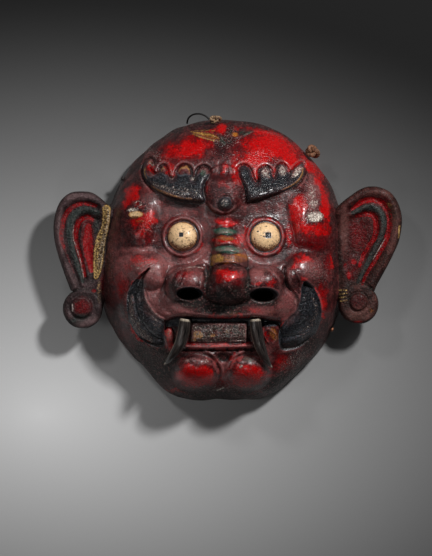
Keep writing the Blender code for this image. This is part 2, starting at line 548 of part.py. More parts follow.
EAR_LEFT = Ear(
    edge=((-130.5, 55.2), (-133.9, 57.5), (-142.0, 64.4), (-150.0, 70.9), (-158.0, 74.7), (-169.5, 75.9), (-180.9, 73.6), (-190.1, 66.7), (-195.9, 56.4),
          (-199.3, 42.6), (-199.9, 31.2), (-198.2, 16.2), (-193.6, -1.0), (-189.0, -14.7), (-184.4, -27.3), (-179.8, -38.8)),
    root=((-130.5, 55.2), (-127.0, 40.3), (-125.9, 19.7), (-127.0, -1.0), (-130.5, -20.5), (-137.4, -37.7), (-142.0, -52.6), (-143.7, -60.6)),
    lobe=(-166.4, -59.1, 22.8), boss=(-167.2, -57.2, 12.4),
    folds=((((-148.8, 57.5), (-160.3, 61.5), (-169.5, 62.1), (-178.7, 58.1), (-185.5, 49.5), (-188.4, 36.9), (-189.0, 22.0), (-186.1, 8.2), (-181.5, -5.5),
             (-175.8, -19.3), (-170.6, -31.9)), -2.7, 2.8),
           (((-147.7, 50.6), (-158.0, 54.7), (-167.2, 53.5), (-174.1, 47.2), (-178.1, 36.9), (-179.2, 24.3), (-177.5, 10.5), (-172.9, -4.4), (-168.9, -18.2),
             (-166.0, -31.9)), 2.0, 3.2),
           (((-150.0, 42.6), (-158.0, 46.1), (-164.9, 45.5), (-170.6, 40.3), (-173.5, 31.2), (-174.1, 19.7), (-171.2, 7.1), (-167.8, -5.5), (-164.9, -18.2),
             (-163.2, -27.3)), -3.1, 2.8),
           (((-164.9, 35.7), (-167.8, 22.0), (-166.0, 7.1), (-162.6, -7.8), (-160.3, -20.5)), 1.0, 2.4),
           (((-159.2, 38.0), (-160.3, 19.7), (-158.6, 2.5), (-155.7, -12.4)), -2.2, 4.0)))
EAR_RIGHT = Ear(
    edge=((126.4, 58.7), (133.3, 65.0), (140.2, 70.1), (149.4, 76.5), (158.5, 80.5), (166.6, 81.6), (176.9, 79.3), (186.1, 74.7),
          (192.9, 66.7), (197.5, 56.4), (199.8, 44.9), (199.3, 33.4), (196.4, 18.5), (190.6, 4.8), (183.8, -9.0), (176.9, -21.6),
          (171.2, -31.9), (168.3, -38.8)),
    root=((126.4, 58.7), (118.4, 42.6), (117.2, 19.7), (118.4, -1.0), (120.7, -20.5), (124.1, -37.7), (126.4, -49.1), (127.1, -56.0)),
    lobe=(149.9, -53.7, 23.0), boss=(149.4, -51.4, 9.9),
    folds=((((141.3, 54.1), (151.7, 61.5), (160.8, 66.1), (170.0, 65.6), (178.0, 59.8), (182.6, 50.6), (183.8, 38.0), (182.0, 24.3),
             (176.9, 10.5), (170.0, -2.1), (164.3, -12.4), (157.4, -25.0), (152.8, -35.4)), -3.0, 3.2),
           (((141.3, 48.4), (151.7, 54.7), (160.8, 58.1), (168.9, 56.4), (174.6, 49.5), (176.9, 38.0), (174.6, 24.3), (168.9, 11.7),
             (163.1, 0.2), (157.4, -11.3), (152.8, -22.8), (149.4, -34.2)), 2.0, 3.4),
           (((147.1, 44.9), (158.5, 50.1), (165.4, 48.4), (169.4, 41.5), (170.0, 32.3), (167.7, 22.0), (163.1, 11.7), (156.2, 1.3)),
            -3.1, 3.0),
           (((152.8, 38.0), (152.8, 22.0), (148.2, 5.9)), -2.2, 7.0)))


# --------------------------------------------------------------------------------------------- the small parts
def plain(x, y):
    """Height of the uncarved dome at single plan points, in mm."""
    dx, dy = np.asarray(x, float) - CENTRE[0], np.asarray(y, float) - CENTRE[1]
    angle = np.arctan2(dy, dx)
    share = np.clip(np.hypot(dx, dy) / reach(angle), 0.0, 1.0)
    p = fullness(angle)
    return CROWN_Z * (1 - share ** p) ** (1 / p)


def wall(degrees, z, out):
    """A point out mm off the plain side wall, at an angle and a height."""
    angle = math.radians(degrees)
    p = float(fullness(angle))
    r = float(reach(angle)) * (1 - (z / CROWN_Z) ** p) ** (1 / p) + out
    return np.array((CENTRE[0] + r * math.cos(angle), CENTRE[1] + r * math.sin(angle), z))


def tusk(stations, name, mat):
    """A curved tusk from (x, y, half width, height of its axis over the plain dome)."""
    line = curve(stations, 14)
    return tube(np.stack([line[:, 0], line[:, 1], plain(line[:, 0], line[:, 1]) + line[:, 3], line[:, 2]], -1), 10, name, mat)


def lump(at, radii, turn, name, mat, waves):
    """A knot of cord as one lumpy ball: latitude rings with three strands swelling round them."""
    rows, cols = 7, 12
    lat = np.linspace(-math.pi / 2, math.pi / 2, rows + 2)[1:-1, None]
    lon = np.linspace(0, 2 * math.pi, cols, endpoint=False)[None, :]
    swell = 1.0 + 0.14 * np.cos(waves[0] * lon + waves[1] * lat) * np.cos(lat)
    x, y, z = radii[0] * swell * np.cos(lat) * np.cos(lon), radii[1] * swell * np.cos(lat) * np.sin(lon), radii[2] * np.sin(lat) + 0 * lon
    c, s = math.cos(math.radians(turn)), math.sin(math.radians(turn))
    pts = np.stack([at[0] + x * c - y * s, at[1] + x * s + y * c, at[2] + z], -1).reshape(-1, 3)
    verts = np.vstack([pts, (at[0], at[1], at[2] - radii[2]), (at[0], at[1], at[2] + radii[2])])
    faces = [(k * cols + j, k * cols + (j + 1) % cols, (k + 1) * cols + (j + 1) % cols, (k + 1) * cols + j)
             for k in range(rows - 1) for j in range(cols)]
    faces += [(len(pts), (j + 1) % cols, j) for j in range(cols)]
    faces += [(len(pts) + 1, (rows - 1) * cols + j, (rows - 1) * cols + (j + 1) % cols) for j in range(cols)]
    return body(name, verts, faces, mat)


def button(degrees, z, radius, proud, name, mat):
    """A nail head or peg end standing off the side wall."""
    steps = ((0.0, 0.0), (0.02, 1.0), (0.45, 1.0), (0.8, 0.72), (1.0, 0.0))
    line = [(*wall(degrees, z, 2 * GAP + proud * a), radius * b) for a, b in steps]
    return tube(line, 10, name, mat)


# -------------------------------------------------------------------------------------------------- the parts
def build():
    """Makes every piece."""
    lacquer = material("lacquered_wood", (0.22, 0.03, 0.03), 0.35)
    ear_mat_l = material("lacquered_ear_left", (0.20, 0.03, 0.03), 0.4)
    ear_mat_r = material("lacquered_ear_right", (0.20, 0.03, 0.03), 0.4)
    face = shell(201, 51, "face_shell", lacquer)
    thin = face.modifiers.new("thin", "DECIMATE")
    thin.ratio = FACE_SHARE
    thin.use_collapse_triangulate = True
    floor = cutter(body("cut_floor", [(x, y, z) for z in (-20, 0) for x, y in ((-260, -260), (260, -260), (260, 260), (-260, 260))],
                        [(3, 2, 1, 0), (4, 5, 6, 7), (0, 1, 5, 4), (1, 2, 6, 5), (2, 3, 7, 6), (3, 0, 4, 7)], lacquer))
    cut(face, floor, "rim")
    for k, (at, radii) in enumerate(NOSTRILS):
        around = np.linspace(0, 2 * math.pi, 20, endpoint=False)
        ring = [(at[0] + 0.8 * radii[0] * math.cos(a), at[1] + 0.8 * radii[1] * math.sin(a)) for a in around]
        verts = [(x, y, z) for z in (40, 170) for x, y in ring]
        sides = [(j, (j + 1) % 20, 20 + (j + 1) % 20, 20 + j) for j in range(20)]
        cut(face, cutter(body(f"cut_nostril_{k}", verts, sides + [tuple(range(19, -1, -1)), tuple(range(20, 40))], lacquer)), f"nostril_{k}")

    xo, yo, zo, share = dome(61, CROWN_Z + 2.2, -1.0)
    rim = np.stack([xo, yo, zo + 2.0], -1).reshape(-1, 3)
    around = edge_loop(61)
    low = rim[around] * (1, 1, 0) - (0, 0, 30)
    base = len(rim)
    head = cutter(body("cut_head", np.vstack([rim, low, (CENTRE[0], CENTRE[1], -30)]),
                       [tuple(f) for f in quads(61, 61)] + [tuple(f) for f in band(around, np.arange(base, base + len(around)))]
                       + [(base + j, base + (j + 1) % len(around), base + len(around)) for j in range(len(around))], lacquer))
    for ear, name, mat in ((EAR_LEFT, "ear_left", ear_mat_l), (EAR_RIGHT, "ear_right", ear_mat_r)):
        obj = ear.build(name, mat, 66, 33, 17)
        thin = obj.modifiers.new("thin", "DECIMATE")
        thin.ratio = EAR_SHARE
        thin.use_collapse_triangulate = True
        cut(obj, head, "head")

    horn_l = material("horn_left", (0.03, 0.025, 0.02), 0.3)
    horn_r = material("horn_right", (0.03, 0.025, 0.02), 0.3)
    tusk(((-47.8, -70.1, 5.8, 3.1), (-50.0, -84.7, 6.3, 6.5), (-54.5, -99.4, 5.7, 10.0), (-61.5, -110.1, 4.2, 11.0),
          (-67.8, -117.9, 2.5, 10.0), (-71.9, -121.9, 0.6, 8.5)), "tusk_left", horn_l)
    tusk(((30.9, -70.1, 5.8, 3.1), (32.5, -84.7, 6.2, 6.5), (36.3, -100.5, 5.6, 10.0), (41.3, -112.4, 4.2, 11.5),
          (46.4, -121.9, 2.4, 10.5), (49.8, -126.4, 0.6, 9.0)), "tusk_right", horn_r)
    lump(wall(92.4, 35, 6.5), (5.8, 3.6, 4.2), 8, "knot_top", material("fibre_top", (0.25, 0.13, 0.07), 0.8), (4, 2.5))
    lump(wall(50.6, 30, 10.0), (9.4, 7.6, 7.0), -35, "knot_side", material("fibre_side", (0.22, 0.10, 0.06), 0.8), (5, 2.0))
    wire = ((*wall(104, 14, 1.7), 0.2), (*wall(104, 15, 3.4), 1.0), (*wall(103, 22, 9.0), 1.0), (*wall(101, 30, 13.5), 1.0),
            (*wall(98.5, 36, 15.0), 1.0), (*wall(96.4, 38, 12.5), 1.0), (*wall(95.3, 37.5, 8.6), 1.0), (*wall(95.1, 37.3, 7.6), 0.2))
    tube(curve(wire, 16), 8, "hanging_wire", material("black_wire", (0.01, 0.01, 0.01), 0.4, 0.6))
    button(139.9, 26, 2.6, 3.4, "rim_nail_left", material("iron_nail", (0.03, 0.03, 0.03), 0.5, 0.8))
    button(328.5, 24, 2.8, 3.0, "rim_nail_right", material("copper_nail", (0.30, 0.12, 0.06), 0.45, 0.8))


FACE_SHARE = 0.066
EAR_SHARE = 0.18
build()
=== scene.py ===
"""Lakhe mask, dressed: a carved and lacquered demon face with ears, horn tusks, cord knots, wire and nails.

The mask lies face up on its rim. Metres in the objects, millimetres in every size and shape function here.
+X runs to the viewer's right, +Y towards the crown, +Z out of the face, and the rim's plane is z = 0.
"""
from __future__ import annotations

import logging
import math
from collections.abc import Sequence
from dataclasses import dataclass
from enum import Enum
from typing import Any

import bmesh
import bpy
import numpy as np
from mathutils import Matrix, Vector

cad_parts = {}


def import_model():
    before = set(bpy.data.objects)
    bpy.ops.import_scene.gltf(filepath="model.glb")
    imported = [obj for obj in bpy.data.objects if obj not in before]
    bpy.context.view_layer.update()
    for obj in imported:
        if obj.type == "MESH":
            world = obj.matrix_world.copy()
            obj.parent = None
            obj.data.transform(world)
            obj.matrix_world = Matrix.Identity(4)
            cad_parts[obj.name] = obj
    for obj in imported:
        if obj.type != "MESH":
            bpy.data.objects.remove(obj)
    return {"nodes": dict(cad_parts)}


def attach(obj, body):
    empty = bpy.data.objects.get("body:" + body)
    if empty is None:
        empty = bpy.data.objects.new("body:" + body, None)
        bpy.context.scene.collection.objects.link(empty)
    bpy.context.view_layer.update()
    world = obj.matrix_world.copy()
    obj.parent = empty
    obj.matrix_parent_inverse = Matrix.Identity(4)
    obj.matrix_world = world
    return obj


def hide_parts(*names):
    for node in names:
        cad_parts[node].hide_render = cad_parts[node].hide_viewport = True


log = logging.getLogger("lakhe_mask")

MM = 0.001
FAR = 1e3
TINY = 1e-12
OUTSIDE_FALL = 60.0

Array = np.ndarray
Point = tuple[float, float]
Point3 = tuple[float, float, float]
Run = tuple[tuple[float, ...], ...]
Colour = tuple[float, float, float]
Socket = bpy.types.NodeSocket
Value = float | Socket


# ---------------------------------------- shape helpers
def ramp(low: float, high: float, value: Array) -> Array:
    """Smooth step 3t² - 2t³ of t, the share of the way from low to high.

    Args:
        low: value that gives 0.
        high: value that gives 1.
        value: where to read the step.
    Returns:
        Array of 0 to 1, level at both ends.
    """
    t = np.clip((value - low) / (high - low), 0.0, 1.0)
    return t * t * (3.0 - 2.0 * t)


def bell(value: Array, width: float) -> Array:
    """Bell of height 1: e to the minus (value / width) squared."""
    return np.exp(-((value / width) ** 2))


def upper(a: Array, b: Array, soft: float) -> Array:
    """Higher of two heights, with their crossing rounded by a parabola over soft mm."""
    t = np.clip(0.5 + 0.5 * (a - b) / soft, 0.0, 1.0)
    return b + (a - b) * t + soft * t * (1.0 - t)


def oval(x: Array, y: Array, at: Point, radii: Point, turn: float = 0.0) -> Array:
    """Share of the way out to a turned ellipse: the length of (dx / rx, dy / ry) in its own axes."""
    c, s = math.cos(math.radians(turn)), math.sin(math.radians(turn))
    dx, dy = x - at[0], y - at[1]
    return np.hypot((dx * c + dy * s) / radii[0], (dy * c - dx * s) / radii[1])


def cap(share: Array, full: float = 0.5) -> Array:
    """Dome profile over an ellipse share: one minus share squared, to the power full, and 0 outside."""
    return np.clip(1.0 - share * share, 0.0, 1.0) ** full


def curve(points: Sequence[Sequence[float]], count: int, closed: bool = False) -> Array:
    """Catmull-Rom curve: the cubic through each pair of points with the slopes of their neighbours.

    Args:
        points: rows of any number of columns.
        count: number of samples.
        closed: joins the last point to the first.
    Returns:
        count rows with the same columns.
    """
    p = np.array(points, float)
    p = np.vstack([p[-1:], p, p[:2]]) if closed else np.vstack([2 * p[0] - p[1], p, 2 * p[-1] - p[-2]])
    t = np.linspace(0.0, len(p) - 3 - 1e-9, count)
    i = t.astype(int)
    f = (t - i)[:, None]
    a, b, c, d = p[i], p[i + 1], p[i + 2], p[i + 3]
    return 0.5 * (2 * b + (c - a) * f + (2 * a - 5 * b + 4 * c - d) * f**2 + (3 * b - 3 * c + d - a) * f**3)


def window(x: Array, y: Array, line: Array, margin: float) -> Array:
    """True where a plan point lies within margin of a line's bounding box."""
    low, high = line[:, :2].min(0) - margin, line[:, :2].max(0) + margin
    return (x > low[0]) & (x < high[0]) & (y > low[1]) & (y < high[1])


def to_piece(px: Array, py: Array, start: Array, end: Array) -> tuple[Array, Array]:
    """Share of the way along a straight piece to the foot of the perpendicular, and the distance to it."""
    (ax, ay), (ex, ey) = start[:2], end[:2] - start[:2]
    t = np.clip(((px - ax) * ex + (py - ay) * ey) / (ex * ex + ey * ey + TINY), 0.0, 1.0)
    return t, np.hypot(px - ax - t * ex, py - ay - t * ey)


def along(x: Array, y: Array, points: Run, count: int = 40,
          margin: float = 26.0) -> tuple[Array, Array, Array]:
    """Nearest point of a smooth curve, by the foot of the perpendicular on each of its segments.

    Args:
        x, y: plan positions.
        points: (x, y) or (x, y, half width) stations.
        count: samples of the curve.
        margin: how far from the curve's box the distance is worked out; beyond it, it is 1000 mm.
    Returns:
        Distance, share of the way along, and the half width there (0 without one).
    """
    s = curve(points, count)
    best, share = np.full(np.shape(x), FAR), np.zeros(np.shape(x))
    here = window(x, y, s, margin)
    px, py, far, at = x[here], y[here], best[here], share[here]
    for k in range(count - 1):
        t, d = to_piece(px, py, s[k], s[k + 1])
        near = d < far
        far = np.where(near, d, far)
        at = np.where(near, (k + t) / (count - 1), at)
    best[here], share[here] = far, at
    half = np.interp(share, np.linspace(0, 1, count), s[:, 2]) if s.shape[1] > 2 else np.zeros(np.shape(x))
    return best, share, half


def contour_depth(x: Array, y: Array, points: Run, count: int = 150, margin: float = 12.0) -> Array:
    """Signed distance to a closed smooth contour: positive inside, by counting crossings to the right.

    Args:
        x, y: plan positions.
        points: the contour's points in order.
        count: samples of the contour.
        margin: how far outside the distance is worked out; beyond it, it is -1000 mm.
    Returns:
        Depth inside in mm, negative outside.
    """
    s = curve(points, count + 1, closed=True)
    depth = np.full(np.shape(x), -FAR)
    here = window(x, y, s, margin)
    px, py = x[here], y[here]
    far, inside = np.full(px.shape, FAR), np.zeros(px.shape, bool)
    for k in range(count):
        (ax, ay), (bx, by) = s[k, :2], s[k + 1, :2]
        far = np.minimum(far, to_piece(px, py, s[k], s[k + 1])[1])
        inside ^= ((ay > py) != (by > py)) & (px < ax + (py - ay) * (bx - ax) / (by - ay + TINY))
    depth[here] = np.where(inside, far, -far)
    return depth


def around(stations: Run, at: Array) -> Array:
    """Closed smooth interpolation of (degrees, value) stations by cubic Hermite pieces."""
    a = np.array([p[0] for p in stations], float)
    r = np.array([p[1] for p in stations], float)
    a, r = np.concatenate([a - 360, a, a + 360]), np.concatenate([r, r, r])
    i = np.searchsorted(a, at, side="right") - 1
    h = a[i + 1] - a[i]
    t = (at - a[i]) / h
    m0 = (r[i + 1] - r[i - 1]) / (a[i + 1] - a[i - 1]) * h
    m1 = (r[i + 2] - r[i]) / (a[i + 2] - a[i]) * h
    return ((2 * t**3 - 3 * t**2 + 1) * r[i] + (t**3 - 2 * t**2 + t) * m0
            + (3 * t**2 - 2 * t**3) * r[i + 1] + (t**3 - t**2) * m1)


def ripple(x: Array, y: Array, wave: float, seed: int, count: int = 14) -> Array:
    """Hand-made unevenness of about -1 to 1: sine waves of about one length in seeded directions."""
    rng = np.random.default_rng(seed)
    total = np.zeros(np.shape(x))
    for turn, phase, stretch in zip(rng.uniform(0, math.pi, count), rng.uniform(0, 2 * math.pi, count),
                                    rng.uniform(0.6, 1.7, count)):
        total += np.sin(2 * math.pi * (x * math.cos(turn) + y * math.sin(turn)) / (wave * stretch) + phase)
    return total / math.sqrt(count)


# ---------------------------------------- strokes of carving
def worked(forms: Sequence[Any], h: Array, x: Array, y: Array) -> Array:
    """Height after each form has carved it in turn."""
    for form in forms:
        h = form.carve(h, x, y)
    return h


@dataclass(frozen=True)
class Basin:
    """A bowl sunk by deep in its middle, its slope dying out at the edge of the ellipse."""

    at: Point
    radii: Point
    deep: float

    def carve(self, h: Array, x: Array, y: Array) -> Array:
        """Lowers h by the bowl."""
        return h - self.deep * cap(oval(x, y, self.at, self.radii), 1.4)


@dataclass(frozen=True)
class Plateau:
    """A broad swelling that leads the height to one level, wholly inside core of its ellipse."""

    at: Point
    radii: Point
    level: float
    core: float
    turn: float = 0.0

    def carve(self, h: Array, x: Array, y: Array) -> Array:
        """Leads h to the level."""
        return h + (self.level - h) * ramp(1.0, self.core, oval(x, y, self.at, self.radii, self.turn))


@dataclass(frozen=True)
class Ball:
    """A domed form: high in its middle, foot mm below the plain dome at its edge, blended over soft mm."""

    at: Point
    radii: Point
    high: float
    foot: float
    soft: float = 3.0
    full: float = 0.5
    turn: float = 0.0

    def carve(self, h: Array, x: Array, y: Array) -> Array:
        """Raises h to the dome."""
        share = oval(x, y, self.at, self.radii, self.turn)
        rise = (self.high + self.foot) * cap(share, self.full) - self.foot
        return upper(h, rise - OUTSIDE_FALL * np.clip(share - 1.0, 0, None), self.soft)


@dataclass(frozen=True)
class Cut:
    """A line drawn with a gouge: a bell-shaped groove, or a raised thread where deep is negative."""

    points: Run
    deep: float
    half: float

    def carve(self, h: Array, x: Array, y: Array) -> Array:
        """Lowers h along the line."""
        return h - self.deep * bell(along(x, y, self.points, 16, 8.0)[0], self.half)


# ---------------------------------------- the face's forms
@dataclass(frozen=True)
class Brow:
    """A thick black plate whose rounded fingers lie in a moat cut into the forehead."""

    contour: Run
    finger_top: float
    lower_edge: float
    gold_line: Run

    def depth(self, x: Array, y: Array) -> Array:
        """Depth inside the plate's outline in mm."""
        return contour_depth(x, y, self.contour, 220, 10.0)

    def carve(self, h: Array, x: Array, y: Array) -> Array:
        """Sinks the moat, then sets the plate: 2 mm proud at the finger tops and 8 mm at its lower edge."""
        inside = self.depth(x, y)
        drop = ramp(self.finger_top + 2.0, self.lower_edge, y)
        h = h - 4.4 * bell(inside + 2.0, 1.7) * ramp(self.lower_edge + 6.0, self.lower_edge + 16.0, y)
        level = 0.6 + 6.6 * drop + 1.7 * ramp(0.0, 3.6, inside)
        h = h + (level - h) * ramp(-0.9, 0.9, inside)
        hairs = np.sin(1.9 * y + 0.35 * x + 0.8 * np.sin(0.21 * x)) * ramp(1.5, 4.0, inside)
        groove = bell(along(x, y, self.gold_line, 24, 6.0)[0] - 1.6, 0.8)
        return h + 0.16 * hairs - 0.9 * groove * ramp(0.0, 1.0, inside)


@dataclass(frozen=True)
class Moustache:
    """A black crescent sunk beside the mouth, with a groove parting its outer ridge from its inner leaf."""

    contour: Run
    grooves: tuple[Run, ...]
    tip_y: float
    hair_turn: float

    def depth(self, x: Array, y: Array) -> Array:
        """Depth inside the crescent's outline in mm."""
        return contour_depth(x, y, self.contour, 160, 10.0)

    def carve(self, h: Array, x: Array, y: Array) -> Array:
        """Leads the height to the crescent's level, with fine hair lines across it."""
        inside = self.depth(x, y)
        level = 3.6 - 7.5 * ramp(-72.0, -104.0, y) + 1.5 * ramp(self.tip_y - 22.0, self.tip_y, y)
        h = h + (level + 1.3 * ramp(0.0, 5.0, inside) - h) * ramp(-1.2, 0.9, inside)
        for groove in self.grooves:
            d = along(x, y, groove, 30, 10.0)[0]
            h = h - 1.9 * bell(d, 1.3) * ramp(0.0, 1.5, inside)
        c, s = math.cos(math.radians(self.hair_turn)), math.sin(math.radians(self.hair_turn))
        hairs = np.sin(2.3 * (x * c + y * s) + 0.9 * np.sin(0.25 * (y * c - x * s)))
        return h + 0.14 * hairs * ramp(1.0, 3.0, inside)


@dataclass(frozen=True)
class Eye:
    """A round white eyeball, a dark channel, a lid ring at lid radii and the groove outside that."""

    at: Point
    radius: float
    pupil: Point
    pupil_half: float
    lid: float

    def share(self, x: Array, y: Array) -> Array:
        """Distance from the middle in white-disc radii."""
        return np.hypot(x - self.at[0], y - self.at[1]) / self.radius

    def square(self, x: Array, y: Array) -> Array:
        """Distance from the middle of the square pupil, across its sides."""
        return np.maximum(np.abs(x - self.pupil[0]), np.abs(y - self.pupil[1]))

    def carve(self, h: Array, x: Array, y: Array) -> Array:
        """Sets the ball and its rings into the socket."""
        d = self.share(x, y)
        h = h + (-9.5 - h) * ramp(2.3, 1.55, d)
        h = h - 1.1 * bell(d - self.lid - 0.26, 0.11)
        h = upper(h, -13.0 + 10.2 * cap((d - self.lid) / 0.24), 1.6)
        edge = self.lid - 0.12
        ball = upper(-8.5, -13.0 + 17.5 * cap(d / 1.18), 1.0) - 1.3 * bell(d - 1.04, 0.035)
        h = h + (ball - h) * ramp(edge + 0.05, edge - 0.03, d)
        return h - 1.1 * ramp(self.pupil_half + 0.4, self.pupil_half - 0.3, self.square(x, y))


@dataclass(frozen=True)
class Nose:
    """A banded bridge that widens to a ball tip, two square-topped wings and the webs between."""

    bridge: Run = ((-5, 51.6, 5.0), (-5, 38.1, 9.5), (-3.4, 24.6, 12.5), (-1.7, 11, 16.5), (0.6, -1.4, 20.5),
        (1.7, -12.6, 21.5))
    rise: Run = ((0.0, -9.0), (0.2, 1.0), (0.45, 11.0), (0.75, 24.0), (1.0, 31.0))
    creases: Run = ((39.8, 1.4), (33, 2.0), (24.6, 2.2), (12.7, 2.4), (4.3, 2.6), (-8.1, 3.2))
    tip: Ball = Ball((1.7, -28.4), (23.7, 25.9), 41.0, 9.0, 3.0, 0.42)
    wings: tuple[tuple[Point, Point], ...] = (((-46.7, -31.8), (25.4, 22)), ((40.6, -31.8), (24.2, 21.4)))
    web: Ball = Ball((0, -36.3), (36.1, 20.3), 30.0, 6.0, 4.0)
    wing_lines: tuple[Cut, ...] = (Cut(((-65.3, -28.4), (-60.8, -19.4), (-52.9, -13.8), (-42.8, -12.6),
        (-30.4, -12.1)), -1.3, 1.5), Cut(((-55.2, -30.7), (-51.8, -22.8), (-48.4, -16)), 1.5, 1.8),
        Cut(((-29.3, -12.6), (-28.7, -22.8), (-30.4, -34)), -1.5, 1.4),
        Cut(((-24.8, -10.4), (-23.6, -23.9), (-24.8, -37.4)), 2.2, 2.4),
        Cut(((23.7, -10.4), (23.1, -21.6), (24.8, -32.9)), -1.5, 1.5),
        Cut(((19.2, -5.9), (18.6, -21.6), (20.3, -37.4)), 1.8, 2.2),
        Cut(((30.4, -10.9), (42.8, -13.2), (51.9, -18.3), (58.6, -27.3)), -1.5, 1.5))

    def carve(self, h: Array, x: Array, y: Array) -> Array:
        """Raises bridge, tip, wings and webs out of the face."""
        d, t, half = along(x, y, self.bridge)
        rise = np.interp(t, *np.array(self.rise).T)
        bridge = -10.0 + (rise + 10.0) * cap(d / np.maximum(half, 1.0))
        for roll, deep in self.creases:
            bridge = bridge - 1.3 * deep * bell(y - roll + 0.012 * (x - -1.1) ** 2, 1.4)
        h = self.tip.carve(upper(h, bridge, 2.5), x, y)
        for at, radii in self.wings:
            wing = np.abs((x - at[0]) / radii[0]) ** 2.8 + np.abs((y - at[1]) / radii[1]) ** 2.6
            h = upper(h, -7.0 + 34.0 * np.clip(1 - wing, 0, 1) ** 0.5, 4.0)
        return worked((self.web, *self.wing_lines), h, x, y)


@dataclass(frozen=True)
class Mouth:
    """The open mouth: a sunk floor under a curved lip, the plate of teeth, gums and a double lower lip."""

    lip: Run = ((-78.9, -73.5), (-67.6, -70.7), (-58.6, -67.8), (-47.3, -66.7), (-31.5, -68.4), (-4.5, -69),
        (20.3, -68.4), (33.8, -68.4), (47.3, -71.2), (62, -73.5), (69.9, -76.9))
    left: float = -71.5
    right: float = 60.3
    low: float = -96.6
    teeth: tuple[float, float, float, float] = (-42.2, 21.4, -74, -96.5)
    inner: tuple[Any, ...] = (Ball((-66.9, -92.2), (7.2, 13.5), 3.8, 12.0, 1.0, 0.25),
        Ball((-64.2, -102.2), (8.5, 9), 2.0, 12.0, 1.5, 0.35),
        Ball((-50.7, -91.5), (10.1, 13.5), -0.8, 8.0, 1.5, 0.3),
        Ball((49.1, -87.7), (14.2, 15.3), 1.4, 12.0, 1.0, 0.16),
        Cut(((-45, -94.2), (-14.6, -94.4), (24.8, -93.5)), 1.5, 0.9),
        Cut(((-47.3, -101.4), (-14.6, -102), (27.1, -100.7)), -3.4, 2.0),
        Cut(((39.9, -81.4), (41, -89.3), (46.9, -98.3)), -1.3, 0.9),
        Cut(((44, -80.8), (52.5, -85.9), (54.6, -93.2), (50, -98.3)), -1.2, 0.9),
        Cut(((-56.3, -105.5), (-14.6, -105.9), (33.8, -104.8)), 2.6, 1.1))
    overhang: float = 4.5
    tooth: float = 9.4
    floor: float = -3.5
    ivory: float = 2.4

    def above(self, x: Array, y: Array) -> Array:
        """Distance over the edge of the upper lip."""
        lip = curve(self.lip, 80)
        return y - np.interp(x, lip[:, 0], lip[:, 1])

    def within(self, x: Array) -> Array:
        """Distance in from the nearer corner."""
        return np.minimum(x - self.left, self.right - x)

    def depth(self, x: Array, y: Array) -> Array:
        """Depth inside the opening: the least distance to the lip curve and the three straight sides."""
        return np.minimum(np.minimum(-self.above(x, y), y - self.low), self.within(x))

    def plate(self, x: Array, y: Array) -> Array:
        """Depth inside the plate of teeth."""
        left, right, top, low = self.teeth
        return np.minimum(np.minimum(top - y, y - low), np.minimum(x - left, right - x))

    def carve(self, h: Array, x: Array, y: Array) -> Array:
        """Rounds the upper lip over 5 mm, sinks the opening and sets what stands in it."""
        above, within = self.above(x, y), self.within(x)
        roll = np.clip(1.0 - above / 5.0, 0, 1) ** 2 * (above > -2.0)
        h = h - self.overhang * roll * ramp(-2.0, 4.0, within)
        opened = ramp(-0.8, 1.6, np.minimum(-above, within)) * ramp(-3.5, 3.0, y - self.low)
        h = h + (self.floor - h) * opened
        plate = self.plate(x, y)
        left, _, top, _ = self.teeth
        tooth = (x - left) / self.tooth
        notch = bell((tooth - np.round(tooth)) * self.tooth, 0.7) * ramp(top - 2.0, top - 8.0, y)
        level = self.ivory - 0.45 * notch - 0.9 * ramp(2.0, 0.0, plate)
        h = h + (level - h) * ramp(-0.6, 0.8, plate)
        return worked(self.inner, h, x, y)


